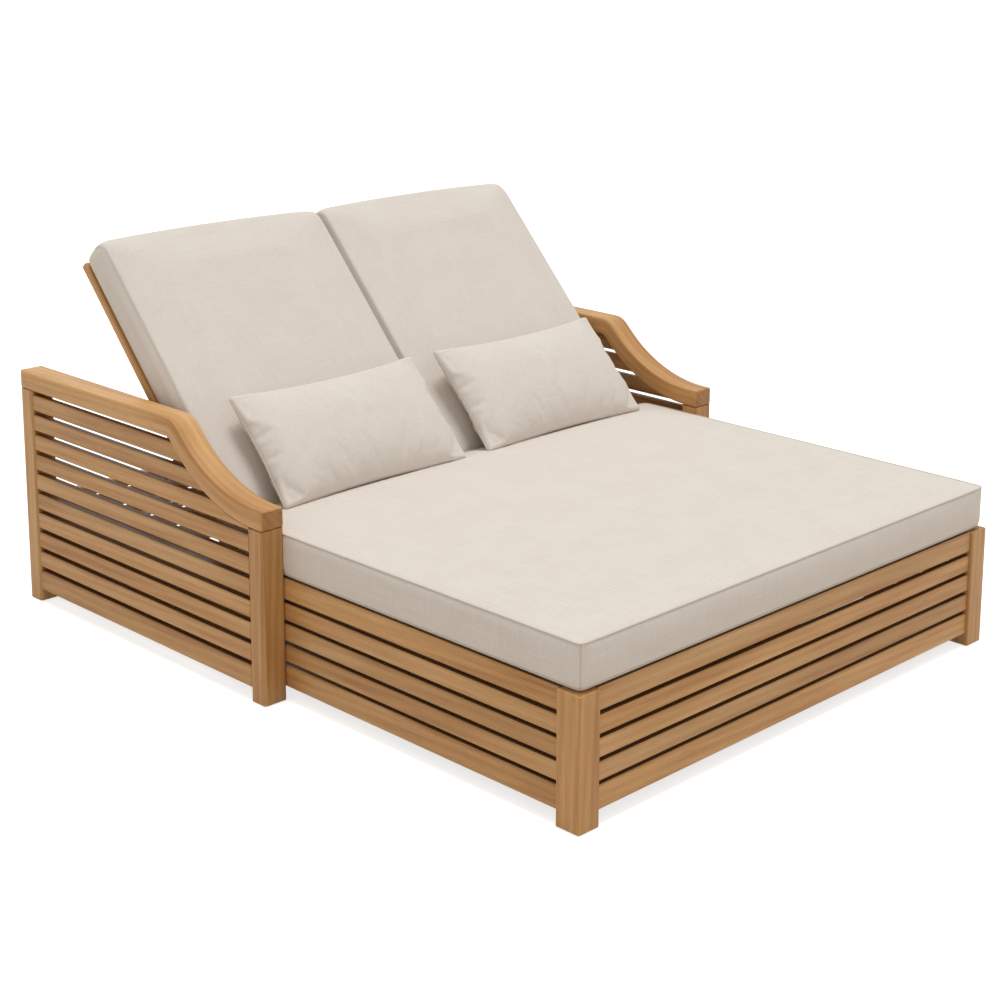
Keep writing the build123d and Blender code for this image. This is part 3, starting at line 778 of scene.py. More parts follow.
@dataclass(frozen=True)
class TimberFinish:
    """Oiled hardwood with softly rounded arrises."""

    dark: str = "9d6836"
    middle: str = "c39158"
    light: str = "ddb077"
    stops: Triple = (0.2, 0.5, 0.85)
    board_spread: float = 0.2
    board_least: float = 0.88
    pore: str = "7c4f2a"
    pore_share: float = 0.25
    # Painted shade: gap is the dark colour of faces that look into a gap between boards
    gap: str = "5a3a1a"
    end_share: float = 0.4
    # Painted shade: how far faces towards a gap are darkened
    gap_share: float = 0.85
    facing_limit: float = 0.9
    roughness: float = 0.44
    rough_lift: float = 0.06
    rough_slope: float = -0.12
    specular: float = 0.35
    bump_strength: float = 0.25
    bump_depth: float = 0.0006
    arris: float = 0.004
    grain: bpy.types.NodeTree = field(default_factory=lambda: Grain().group())
    boards: bpy.types.NodeTree = field(default_factory=lambda: BoardTone().group())

    def material(self, name: str, rows: Rows, attribute: str = "") -> bpy.types.Material:
        """Makes the finish for boards whose grain runs one way.

        Args:
            name: The material's name.
            rows: How the boards lie.
            attribute: Where the grain's place is kept, if the board is bent.

        Returns:
            The material.
        """
        made, graph, shader = new_material(name)
        coordinates = graph.add("ShaderNodeTexCoord").outputs["Object"]
        if attribute:
            place = graph.add("ShaderNodeAttribute", attribute_name=attribute).outputs["Vector"]
        else:
            place = graph.add(
                "ShaderNodeMapping", {"Vector": coordinates, "Rotation": self.turn(rows.run)},
                vector_type="POINT",
            ).outputs[0]
        board = graph.add(
            "ShaderNodeGroup",
            {"Place": place, "Counted": coordinates, "Across": rows.across,
             "Start": rows.start, "Pitch": rows.pitch, "Seed": rows.seed},
            node_tree=self.boards,
        ).outputs
        grain = graph.add(
            "ShaderNodeGroup", {"Place": board["Place"]}, node_tree=self.grain
        ).outputs
        tones = [linear(code) for code in (self.dark, self.middle, self.light)]
        colour = graph.ramp(grain["Tone"], zip(self.stops, tones))
        lift = graph.math("MULTIPLY_ADD", board["Tone"], self.board_spread, self.board_least)
        colour = graph.mix(1.0, colour, graph.level(lift), "MULTIPLY")
        pores = graph.math("MULTIPLY", grain["Pores"], self.pore_share)
        colour = graph.mix(pores, colour, linear(self.pore))
        colour = self.toned_faces(graph, colour, rows)
        rounded = graph.add("ShaderNodeBevel", {"Radius": self.arris}, samples=4).outputs[0]
        bump = graph.add(
            "ShaderNodeBump",
            {"Strength": self.bump_strength, "Distance": self.bump_depth,
             "Height": grain["Height"], "Normal": rounded},
        )
        rough = graph.math(
            "MULTIPLY_ADD", grain["Tone"], self.rough_slope, self.roughness + self.rough_lift
        )
        graph.feed(shader, {
            "Base Color": colour, "Roughness": rough, "Normal": bump.outputs[0],
            "Specular IOR Level": self.specular,
        })
        return made

    def toned_faces(
        self, graph: Graph, colour: bpy.types.NodeSocket, rows: Rows
    ) -> bpy.types.NodeSocket:
        """Darkens the boards' end grain, and paints shade on the faces that look into a gap.

        Args:
            graph: The material's graph.
            colour: The colour of the other faces.
            rows: How the boards lie.

        Returns:
            The toned colour.
        """
        facing = graph.add(
            "ShaderNodeVectorTransform",
            {0: graph.add("ShaderNodeNewGeometry").outputs["True Normal"]},
            vector_type="NORMAL", convert_from="WORLD", convert_to="OBJECT",
        ).outputs[0]
        tones = [(self.length_of(rows.run), self.end_share, self.pore)]
        # Painted shade: faces that look into a gap are darkened as if in shadow
        if rows.gapped:
            tones.append((rows.across, self.gap_share, self.gap))
        for way, share, code in tones:
            turned = graph.math("ABSOLUTE", graph.vector("DOT_PRODUCT", facing, way))
            mask = graph.math("GREATER_THAN", turned, self.facing_limit)
            colour = graph.mix(graph.math("MULTIPLY", mask, share), colour, linear(code))
        return colour

    def length_of(self, run: Run) -> Triple:
        """Gives the way that the boards of a run lie in the frame.

        Args:
            run: The way that their grain runs.

        Returns:
            The direction of their length.
        """
        tilt, slope = backrest_tilt(), prop_slope()
        return {
            Run.ACROSS: (1.0, 0.0, 0.0),
            Run.ALONG: (0.0, 1.0, 0.0),
            Run.UPRIGHT: (0.0, 0.0, 1.0),
            Run.BACKREST: (0.0, math.cos(tilt), math.sin(tilt)),
            Run.PROP: (0.0, math.cos(slope), -math.sin(slope)),
        }[run]

    def turn(self, run: Run) -> Triple:
        """Gives the rotation that brings a board's length to the first axis.

        Args:
            run: The way that its grain runs.

        Returns:
            The rotation about each axis, in radians.
        """
        quarter = math.pi / 2
        return {
            Run.ACROSS: (0.0, 0.0, 0.0),
            Run.ALONG: (0.0, 0.0, -quarter),
            Run.UPRIGHT: (0.0, quarter, 0.0),
            Run.BACKREST: (-backrest_tilt(), 0.0, -quarter),
            Run.PROP: (prop_slope(), 0.0, -quarter),
        }[run]


@dataclass(frozen=True)
class LinenFinish:
    """Slubby outdoor linen, which reads the place that each vertex had while it was sewn."""

    ground: str = "e6ddd3"
    slub: str = "dacfc3"
    mottle: str = "ebe3da"
    mottle_slope: float = 1.5
    mottle_shift: float = -0.5
    mottle_share: float = 0.5
    roughness: float = 0.9
    specular: float = 0.2
    sheen: float = 0.15
    sheen_roughness: float = 0.5
    bump_strength: float = 0.35
    bump_depth: float = 0.0006
    weave: bpy.types.NodeTree = field(default_factory=lambda: Weave().group())

    def material(self, name: str) -> bpy.types.Material:
        """Makes the finish.

        Args:
            name: The material's name.

        Returns:
            The material.
        """
        made, graph, shader = new_material(name)
        place = graph.add("ShaderNodeAttribute", attribute_name=WEAVE_ATTRIBUTE).outputs["Vector"]
        weave = graph.add("ShaderNodeGroup", {"Place": place}, node_tree=self.weave).outputs
        colour = graph.mix(weave["Slub"], linear(self.ground), linear(self.slub))
        cloud = graph.math(
            "MULTIPLY_ADD", weave["Mottle"], self.mottle_slope, self.mottle_shift, clamp=True
        )
        share = graph.math("MULTIPLY", cloud, self.mottle_share)
        colour = graph.mix(share, colour, linear(self.mottle))
        bump = graph.add(
            "ShaderNodeBump",
            {"Strength": self.bump_strength, "Distance": self.bump_depth,
             "Height": weave["Height"]},
        )
        graph.feed(shader, {
            "Base Color": colour, "Normal": bump.outputs[0], "Roughness": self.roughness,
            "Specular IOR Level": self.specular, "Sheen Weight": self.sheen,
            "Sheen Roughness": self.sheen_roughness,
        })
        return made


@dataclass(frozen=True)
class SteelFinish:
    """Satin stainless steel with fine brushing across the part."""

    colour: str = "b9b9ba"
    line_colour: str = "a5a6a8"
    brushing: Triple = (40.0, 1400.0, 1400.0)
    roughness: float = 0.34
    rough_drop: float = 0.1
    rough_slope: float = 0.2
    bump_strength: float = 0.15
    bump_depth: float = 0.0002

    def material(self, name: str) -> bpy.types.Material:
        """Makes the finish.

        Args:
            name: The material's name.

        Returns:
            The material.
        """
        made, graph, shader = new_material(name)
        place = graph.add("ShaderNodeTexCoord").outputs["Object"]
        lines = graph.noise(graph.vector("MULTIPLY", place, self.brushing), 1.0, 2.0)
        least = self.roughness - self.rough_drop
        bump = graph.add(
            "ShaderNodeBump",
            {"Strength": self.bump_strength, "Distance": self.bump_depth, "Height": lines},
        )
        graph.feed(shader, {
            "Base Color": graph.mix(lines, linear(self.colour), linear(self.line_colour)),
            "Roughness": graph.math("MULTIPLY_ADD", lines, self.rough_slope, least),
            "Normal": bump.outputs[0], "Metallic": 1.0,
        })
        return made


@dataclass(frozen=True)
class GlideFinish:
    """Black moulded plastic with a fine spark texture."""

    colour: str = "26241f"
    spark_colour: str = "34322c"
    spark_scale: float = 1800.0
    roughness: float = 0.55
    bump_strength: float = 0.3
    bump_depth: float = 0.0002

    def material(self, name: str) -> bpy.types.Material:
        """Makes the finish.

        Args:
            name: The material's name.

        Returns:
            The material.
        """
        made, graph, shader = new_material(name)
        place = graph.add("ShaderNodeTexCoord").outputs["Object"]
        spark = graph.noise(place, self.spark_scale, 2.0)
        bump = graph.add(
            "ShaderNodeBump",
            {"Strength": self.bump_strength, "Distance": self.bump_depth, "Height": spark},
        )
        graph.feed(shader, {
            "Base Color": graph.mix(spark, linear(self.colour), linear(self.spark_colour)),
            "Normal": bump.outputs[0], "Roughness": self.roughness,
        })
        return made


@dataclass(frozen=True)
class ThreadFinish:
    """Sewing thread and folded seam edges, darker than the linen: partly the thread's own tone,
    partly painted shade of the seam creases.
    """

    # Darker than the linen: partly the thread's tone, partly painted shade of the seam creases
    colour: str = "c6baab"
    twist_colour: str = "d8cdc0"
    twist_scale: float = 700.0
    roughness: float = 0.85
    bump_strength: float = 0.4
    bump_depth: float = 0.0004

    def material(self, name: str) -> bpy.types.Material:
        """Makes the finish.

        Args:
            name: The material's name.

        Returns:
            The material.
        """
        made, graph, shader = new_material(name)
        place = graph.add("ShaderNodeAttribute", attribute_name=WEAVE_ATTRIBUTE).outputs["Vector"]
        twist = graph.noise(place, self.twist_scale, 2.0)
        bump = graph.add(
            "ShaderNodeBump",
            {"Strength": self.bump_strength, "Distance": self.bump_depth, "Height": twist},
        )
        graph.feed(shader, {
            "Base Color": graph.mix(twist, linear(self.colour), linear(self.twist_colour)),
            "Normal": bump.outputs[0], "Roughness": self.roughness,
        })
        return made


@dataclass(frozen=True)
class Fabrics:
    """The materials of a sewn piece."""

    linen: bpy.types.Material
    # The darker finish of welts, joints, stitches and piping, partly painted shade of the seam
    # creases
    thread: bpy.types.Material


# Timber and hardware


@dataclass
class BentRail:
    """The S-curved top rail of one arm, with rounded edges and grain that follows the curve."""

    side: Side
    step: float = 0.012
    probe: float = 0.003
    edge: float = 0.0055
    edge_segments: int = 3
    smooth_angle: float = 50.0
    rounds: int = 12
    reach: int = 3

    def build(self, timber: bpy.types.Material) -> None:
        """Builds the rail over its CAD solid.

        Args:
            timber: The finish, which reads the place that each vertex had in the straight board.
        """
        node = f"arm_top_rail_{self.side.label}"
        low, high = local_box(node, Matrix.Identity(4))
        line, depth = self.top_line(frame["nodes"][node], low, high)
        lengths = [0.0]
        for first, second in zip(line, line[1:]):
            lengths.append(lengths[-1] + (second - first).length)
        centre = Vector(((low.x + high.x) / 2, lengths[-1] / 2, -depth / 2))
        size = Vector((high.x - low.x, lengths[-1], depth))
        piece = plain_box(f"arm_rail_{self.side.label}", centre, size)
        finish_with(
            piece, "BEVEL", width=self.edge, segments=self.edge_segments, limit_method="ANGLE",
            use_clamp_overlap=False,
        )
        cut_edges(piece, 1, round(lengths[-1] / self.step))
        straight = [(vertex.co.y, vertex.co.x, vertex.co.z) for vertex in piece.data.vertices]
        keep_places(piece, GRAIN_ATTRIBUTE, straight)
        reshape(piece, lambda point: self.bent(point, line, lengths))
        bpy.ops.object.shade_smooth_by_angle(angle=math.radians(self.smooth_angle))
        dress(piece, timber)
        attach(piece, "frame")
        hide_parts(node)
        LOG.info("%s built with %d faces", piece.name, len(piece.data.polygons))

    def top_line(
        self, rail: bpy.types.Object, low: Vector, high: Vector
    ) -> tuple[list[Vector], float]:
        """Reads the rail's top line and its depth from the CAD solid.

        Args:
            rail: The CAD solid.
            low: Its lowest corner.
            high: Its highest corner.

        Returns:
            Even points along the top, from foot to head, and the depth of the board.
        """
        surface = surface_of(rail)
        middle = (low.x + high.x) / 2
        inset = self.probe / 10
        count = round((high.y - low.y) / self.probe)
        points = []
        for index in range(count + 1):
            y = low.y + (high.y - low.y) * index / count
            inside = min(max(y, low.y + inset), high.y - inset)
            above = Vector((middle, inside, high.z + RAY_START))
            place = surface.ray_cast(above, Vector((0, 0, -1)))[0]
            points.append(Vector((0.0, y, place.z)))
        below = Vector((middle, high.y - self.probe, low.z - RAY_START))
        under = surface.ray_cast(below, Vector((0, 0, 1)))[0]
        return smoothed(points, self.rounds, False), points[-1].z - under.z

    def bent(self, point: Vector, line: Sequence[Vector], lengths: Sequence[float]) -> Vector:
        """Takes a point of the straight board to its place on the curve.

        Args:
            point: The point, with its way along the board as Y.
            line: The top line.
            lengths: How far along the line each of its points lies.

        Returns:
            The point on the bent board.
        """
        along = min(max(point.y, 0.0), lengths[-1])
        index = min(max(bisect.bisect_right(lengths, along) - 1, 0), len(line) - 2)
        share = (along - lengths[index]) / (lengths[index + 1] - lengths[index])
        place = line[index].lerp(line[index + 1], share)
        ahead = line[min(index + 1 + self.reach, len(line) - 1)]
        behind = line[max(index - self.reach, 0)]
        run = (ahead - behind).normalized()
        normal = Vector((0.0, -run.z, run.y))
        return Vector((point.x, place.y, place.z)) + normal * point.z


@dataclass
class Joinery:
    """The timber of the base, arms and backrests, which keeps its CAD shape.

    The seed sets the tone and the stretch of grain of the board that comes next.
    """

    finish: TimberFinish = field(default_factory=TimberFinish)
    seed: int = 0
    row_seeds: int = 20

    def dress_all(self) -> None:
        """Gives every timber node its finish, and bends the arms' top rails."""
        self.dress_boards()
        self.dress_rows()
        for side in Side:
            self.seed += 1
            rows = Rows(Run.ALONG, float(self.seed))
            bent = self.finish.material(f"timber_arm_rail_{side.label}", rows, GRAIN_ATTRIBUTE)
            BentRail(side).build(bent)
        LOG.info("timber dressed")

    def boards(self) -> dict[Run, list[str]]:
        """Lists the nodes that aren't rows of slats.

        Returns:
            The nodes by the way that their grain runs.
        """
        sided = {
            Run.ACROSS: ("back_top_rail", "back_bottom_rail"),
            Run.ALONG: (
                "side_top_rail", "side_bottom_rail", "arm_top_rail", "arm_bottom_rail", "ledger",
            ),
            Run.UPRIGHT: ("foot_post", "arm_front_post", "arm_back_post"),
            Run.BACKREST: ("back_stiles", "pivot_blocks"),
            Run.PROP: ("prop_arms",),
        }
        nodes = {
            Run.ACROSS: [
                "foot_top_rail", "foot_bottom_rail", "head_top_rail", "head_bottom_rail",
                "hinge_beam",
            ],
            Run.ALONG: ["centre_beam", "outer_racks", "inner_racks"],
            Run.UPRIGHT: ["head_corner_posts", "centre_leg"],
            Run.BACKREST: [],
            Run.PROP: [],
        }
        for side in Side:
            for run, stems in sided.items():
                nodes[run] += [f"{stem}_{side.label}" for stem in stems]
        return nodes

    def dress_boards(self) -> None:
        """Finishes the nodes that aren't rows of slats."""
        for run, nodes in self.boards().items():
            for node in nodes:
                self.seed += 1
                # Painted shade on rail faces towards a gap between boards or the cushion above
                gapped = run is not Run.UPRIGHT and node.startswith(GAP_SHADE_PAINTED_RAILS)
                rows = Rows(run, float(self.seed), gapped=gapped)
                dress(frame["nodes"][node], self.finish.material(f"timber_{node}", rows))

    def dress_rows(self) -> None:
        """Finishes the rows of slats, board by board."""
        flat, raised = Matrix.Identity(4), backrest_matrix()
        upward, forward = (0.0, 0.0, 1.0), (0.0, 1.0, 0.0)
        up_back = tuple((raised.to_3x3() @ Vector(forward)).normalized())
        for node, run, axis, across, place in (
            ("foot_slats", Run.ACROSS, 2, upward, flat),
            ("head_slats", Run.ACROSS, 2, upward, flat),
            ("side_slats_left", Run.ALONG, 2, upward, flat),
            ("side_slats_right", Run.ALONG, 2, upward, flat),
            ("arm_slats_left", Run.ALONG, 2, upward, flat),
            ("arm_slats_right", Run.ALONG, 2, upward, flat),
            ("deck_slats", Run.ACROSS, 1, forward, flat),
            ("back_slats_left", Run.ACROSS, 1, up_back, raised),
            ("back_slats_right", Run.ACROSS, 1, up_back, raised),
        ):
            self.seed += self.row_seeds
            start, pitch = self.spacing(node, axis, place)
            start += place.translation.dot(Vector(across))
            # Painted shade on the faces between boards of the upright rows
            rows = Rows(run, float(self.seed), across, start, pitch, gapped=across == upward)
            dress(frame["nodes"][node], self.finish.material(f"timber_{node}", rows))

    def spacing(self, node: str, axis: int, place: Matrix) -> tuple[float, float]:
        """Measures the row of boards in a node.

        Args:
            node: The CAD node's name.
            axis: The axis that the boards follow each other along.
            place: Takes the sub-assembly's coordinates to the frame's.

        Returns:
            Where the first board's share of the row starts, and the pitch.
        """
        mesh = bmesh.new()
        mesh.from_mesh(frame["nodes"][node].data)
        mesh.transform(place.inverted())
        bmesh.ops.remove_doubles(mesh, verts=mesh.verts, dist=MERGED)
        spans: list[tuple[float, float]] = []
        unseen = set(mesh.verts)
        while unseen:
            stack = [unseen.pop()]
            low = high = stack[0].co[axis]
            while stack:
                vertex = stack.pop()
                low, high = min(low, vertex.co[axis]), max(high, vertex.co[axis])
                for edge in vertex.link_edges:
                    other = edge.other_vert(vertex)
                    if other in unseen:
                        unseen.remove(other)
                        stack.append(other)
            spans.append((low, high))
        mesh.free()
        spans.sort()
        pitch = spans[1][0] - spans[0][0]
        gap = spans[1][0] - spans[0][1]
        return spans[0][0] - gap / 2, pitch


@dataclass
class Hardware:
    """The steel and plastic parts, which keep their CAD shape."""

    steel: bpy.types.Material
    plastic: bpy.types.Material

    def dress_all(self) -> None:
        """Finishes the bolts, brackets, pins, foot bars and glides."""
        nodes = ["arm_bolts", "hinge_brackets"]
        for side in Side:
            nodes += [f"{stem}_{side.label}" for stem in ("hinge_pins", "prop_bolts", "prop_bar")]
        for node in nodes:
            dress(frame["nodes"][node], self.steel)
        dress(frame["nodes"]["floor_glides"], self.plastic)
        LOG.info("hardware dressed")


# Cushions and pillows


@dataclass(frozen=True)
class Sewing:
    """The welts and the stitched rows of a boxed cushion, in metres where they are sizes."""

    welt: float = 0.0018
    lower_share: float = 0.7
    welt_rise: float = 0.3
    rounds: int = 2
    arc_steps: int = 8
    outline_step: float = 0.02
    joint: float = 0.0009
    joint_rise: float = 0.0002
    joint_steps: int = 14
    stitch: float = 0.0007
    stitch_rise: float = 0.0003
    stitch_insets: tuple[float, float] = (0.005, 0.0115)
    stitch_start: float = 0.012
    stitch_steps: int = 60
    stitch_arc_steps: int = 12


@dataclass
class BoxCushion:
    """A boxed cushion whose top and side band swell between held seams.

    One with a nose has a rounded upper end in profile, and its seams run along its sides.
    """

    name: str
    node: str
    body: str
    place: Matrix
    cell: float
    corner: float
    tuck: float = 0.009
    tuck_share: float = 0.7
    nose: float = 0.0
    heel: float = 0.0
    outgrow: float = 0.0
    spread: float = 0.0035
    rise: float = 0.0
    roll: float = 5.0
    bow: float = 0.0
    bow_power: float = 1.5
    crown: float = 0.008
    bulge: float = 0.004
    edge_zone: float = 0.97
    start: float = 0.55
    crispness: float = 0.35
    soften: int = 0
    soften_reach: float = 2.2
    soften_factor: float = 0.5
    sewing: Sewing = field(default_factory=Sewing)
    inflation: Inflation = field(default_factory=Inflation)
    fill: float = 0.85

    def build(self, fabrics: Fabrics) -> bpy.types.Object:
        """Builds, fills, seams and places the cushion.

        Args:
            fabrics: The cushion's fabric and thread.

        Returns:
            The finished piece.
        """
        low, high = local_box(self.node, self.place)
        side_limits = (low.x - self.spread, high.x + self.spread)
        rim = self.bulge - self.outgrow
        low.x, high.x = low.x + rim, high.x - rim
        low.y, high.y = low.y + rim, high.y - (rim if self.nose else self.bulge)
        high.z += self.rise - self.crown
        piece = grid_box(self.name, low, high, self.cell)
        seams, floor = self.marks(piece, low, high)
        if self.nose:
            reshape(piece, lambda point: self.rounded_profile(point, low, high))
        else:
            self.crease(piece, seams)
            reshape(piece, lambda point: self.rounded_plan(point, low, high))
        if self.soften:
            self.soften_edges(piece, low, high)
        share = self.start
        reshape(piece, lambda point: self.crowned(point, low, high, share))
        self.inflation.run(piece, seams | floor)
        finish_with(piece, "SUBSURF", levels=1, render_levels=1)
        for vertex in piece.data.vertices:
            vertex.co.x = min(max(vertex.co.x, side_limits[0]), side_limits[1])
        bpy.ops.object.shade_smooth()
        surface = surface_of(piece)
        trims = (self.stitches if self.nose else self.welts)(surface, low, high)
        dress(piece, fabrics.linen)
        # The welts, joints and stitched rows take the darker finish, partly painted shade of the
        # seam creases
        for trim in trims:
            dress(trim, fabrics.thread)
        whole = joined([piece, *trims])
        keep_places(whole, WEAVE_ATTRIBUTE, [vertex.co for vertex in whole.data.vertices])
        whole.data.transform(self.place)
        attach(whole, self.body)
        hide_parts(self.node)
        LOG.info("%s built with %d faces", self.name, len(whole.data.polygons))
        return whole

    def marks(
        self, piece: bpy.types.Object, low: Vector, high: Vector
    ) -> tuple[set[int], set[int]]:
        """Finds the vertices on the top seam and on the underside.

        Args:
            piece: The box before it is shaped.
            low: Its lowest corner.
            high: Its highest corner.

        Returns:
            The seam's vertices and the underside's vertices.
        """
        seams, floor = set(), set()
        for vertex in piece.data.vertices:
            point = vertex.co
            rim = min(abs(point[axis] - end[axis]) for axis in (0, 1) for end in (low, high))
            if abs(point.z - low.z) < NEAR:
                floor.add(vertex.index)
            elif abs(point.z - high.z) < NEAR and rim < NEAR:
                seams.add(vertex.index)
        return seams, floor

    def crease(self, piece: bpy.types.Object, seams: set[int]) -> None:
        """Keeps the top seam crisp when the surface is subdivided.

        Args:
            piece: The box.
            seams: The vertices on the seam.
        """
        creases = piece.data.attributes.new("crease_edge", "FLOAT", "EDGE")
        for edge in piece.data.edges:
            if edge.vertices[0] in seams and edge.vertices[1] in seams:
                creases.data[edge.index].value = self.crispness

    def rounded_profile(self, point: Vector, low: Vector, high: Vector) -> Vector:
        """Rounds the ends in profile, the upper one more than the rest.

        Args:
            point: A point of the box.
            low: The box's lowest corner.
            high: The box's highest corner.

        Returns:
            The moved point.
        """
        middle = (low + high) / 2
        for corner_y, corner_z, radius in (
            (high.y, high.z, self.nose), (high.y, low.z, self.heel),
            (low.y, high.z, self.heel), (low.y, low.z, self.heel),
        ):
            corner = (corner_y - middle.y, corner_z - middle.z)
            y, z = corner_mapped(point.y - middle.y, point.z - middle.z, corner, radius)
            point.y, point.z = y + middle.y, z + middle.z
        return point

    def rounded_plan(self, point: Vector, low: Vector, high: Vector) -> Vector:
        """Rounds the corners in plan, and draws the band in towards the underside.

        Args:
            point: A point of the box.
            low: The box's lowest corner.
            high: The box's highest corner.

        Returns:
            The moved point.
        """
        middle = (low + high) / 2
        for corner_x in (low.x, high.x):
            for corner_y in (low.y, high.y):
                corner = (corner_x - middle.x, corner_y - middle.y)
                x, y = corner_mapped(point.x - middle.x, point.y - middle.y, corner, self.corner)
                point.x, point.y = x + middle.x, y + middle.y
        lift = (point.z - low.z) / self.tuck
        if lift < 1:
            inward = self.tuck * (1 - math.sqrt(1 - (1 - lift) ** 2)) * self.tuck_share
            point.x -= math.copysign(inward, point.x) * (abs(point.x) > high.x - self.corner)
            edge_y = max(point.y - (high.y - self.corner), (low.y + self.corner) - point.y)
            point.y -= math.copysign(inward, point.y - middle.y) * (edge_y > 0)
        return point

    def soften_edges(self, piece: bpy.types.Object, low: Vector, high: Vector) -> None:
        """Eases the edges of the side faces by smoothing what lies near them.

        Args:
            piece: The cushion.
            low: The box's lowest corner.
            high: The box's highest corner.
        """
        only(piece)
        reach = self.soften_reach * self.cell
        for vertex in piece.data.vertices:
            side = min(vertex.co.x - low.x, high.x - vertex.co.x)
            vertex.select = side < reach
        for part in (*piece.data.edges, *piece.data.polygons):
            part.select = False
        bpy.ops.object.mode_set(mode="EDIT")
        bpy.ops.mesh.select_mode(type="VERT")
        bpy.ops.mesh.vertices_smooth(factor=self.soften_factor, repeat=self.soften)
        bpy.ops.object.mode_set(mode="OBJECT")

    def crowned(self, point: Vector, low: Vector, high: Vector, share: float) -> Vector:
        """Swells the top and the side band by a formula, as a start for the simulation.

        Args:
            point: A point of the cushion.
            low: The box's lowest corner.
            high: The box's highest corner.
            share: How much of the whole swelling the formula gives.

        Returns:
            The moved point.
        """
        half_x, half_y = (high.x - low.x) / 2, (high.y - low.y) / 2
        u = (point.x - (high.x + low.x) / 2) / half_x
        v = (point.y - (high.y + low.y) / 2) / half_y
        w = (point.z - low.z) / (high.z - low.z)
        top = max(0.0, min(1.0, (w - 0.5) * 2))
        dome = max(0.0, 1 - abs(u) ** self.roll) * max(0.0, 1 - abs(v) ** self.roll)
        point.z += self.crown * share * dome * top
        point.y += self.bow * (1 - u * u) * max(0.0, (v - 0.5) * 2) ** self.bow_power
        belt = max(0.0, 1 - (2 * w - 1) ** 2) * self.bulge * share
        if abs(u) > self.edge_zone:
            point.x += math.copysign(belt * (1 - v**4), u)
        if abs(v) > self.edge_zone:
            point.y += math.copysign(belt * (1 - u**4), v)
        return point

    def outline(self, low: Vector, high: Vector, height: float) -> list[Vector]:
        """Draws the rounded outline in plan.

        Args:
            low: The box's lowest corner.
            high: The box's highest corner.
            height: The level of the outline.

        Returns:
            Points in short even steps.
        """
        points = []
        for sign_x, sign_y, start in ((1, 1, 0), (-1, 1, 90), (-1, -1, 180), (1, -1, 270)):
            centre = Vector((
                (high.x if sign_x > 0 else low.x) - sign_x * self.corner,
                (high.y if sign_y > 0 else low.y) - sign_y * self.corner,
                height,
            ))
            for step in range(self.sewing.arc_steps + 1):
                angle = math.radians(start + 90 * step / self.sewing.arc_steps)
                out = Vector((math.cos(angle), math.sin(angle), 0))
                points.append(centre + out * self.corner)
        dense = []
        for first, second in zip(points, points[1:] + points[:1]):
            parts = max(1, round((second - first).length / self.sewing.outline_step))
            dense += [first.lerp(second, part / parts) for part in range(parts)]
        return dense

    def welts(self, surface: BVHTree, low: Vector, high: Vector) -> list[bpy.types.Object]:
        """Sews the welts along both seams, and the joints of the band at the corners.

        Args:
            surface: The cushion's surface.
            low: The box's lowest corner.
            high: The box's highest corner.

        Returns:
            The welts and joints.
        """
        sewing = self.sewing
        made = []
        for label, height, radius in (
            ("top", high.z, sewing.welt),
            ("bottom", low.z + self.tuck, sewing.welt * sewing.lower_share),
        ):
            line = laid_on(surface, self.outline(low, high, height), radius * sewing.welt_rise)
            line = smoothed(line, sewing.rounds, True)
            made.append(tube(f"{self.name}_{label}_welt", line, radius, True))
        inset = self.corner * ROUND_INSET
        for x in (low.x + inset, high.x - inset):
            for y in (low.y + inset, high.y - inset):
                line = [
                    Vector((x, y, low.z + (high.z - low.z) * step / sewing.joint_steps))
                    for step in range(sewing.joint_steps + 1)
                ]
                line = laid_on(surface, line, sewing.joint_rise)
                made.append(tube(f"{self.name}_joint", line, sewing.joint, False, 1))
        return made

    def stitches(self, surface: BVHTree, low: Vector, high: Vector) -> list[bpy.types.Object]:
        """Sews twin rows along each side, just behind the front, which follow its rounded end.

        Args:
            surface: The cushion's surface.
            low: The box's lowest corner.
            high: The box's highest corner.

        Returns:
            The rows.
        """
        sewing = self.sewing
        start = low.y + sewing.stitch_start
        length = high.y - low.y - sewing.stitch_start - self.nose
        centre_y, centre_z = high.y - self.nose, high.z - self.nose
        made = []
        for side_x in (low.x, high.x):
            for inset in sewing.stitch_insets:
                line = [
                    Vector((side_x, start + length * step / sewing.stitch_steps, high.z - inset))
                    for step in range(sewing.stitch_steps + 1)
                ]
                reach = self.nose - inset
                for step in range(1, sewing.stitch_arc_steps + 1):
                    angle = math.radians(90 - 90 * step / sewing.stitch_arc_steps)
                    y, z = reach * math.cos(angle), reach * math.sin(angle)
                    line.append(Vector((side_x, centre_y + y, centre_z + z)))
                line = smoothed(laid_on(surface, line, sewing.stitch_rise), sewing.rounds, False)
                made.append(tube(f"{self.name}_stitch", line, sewing.stitch, False, 1))
        return made


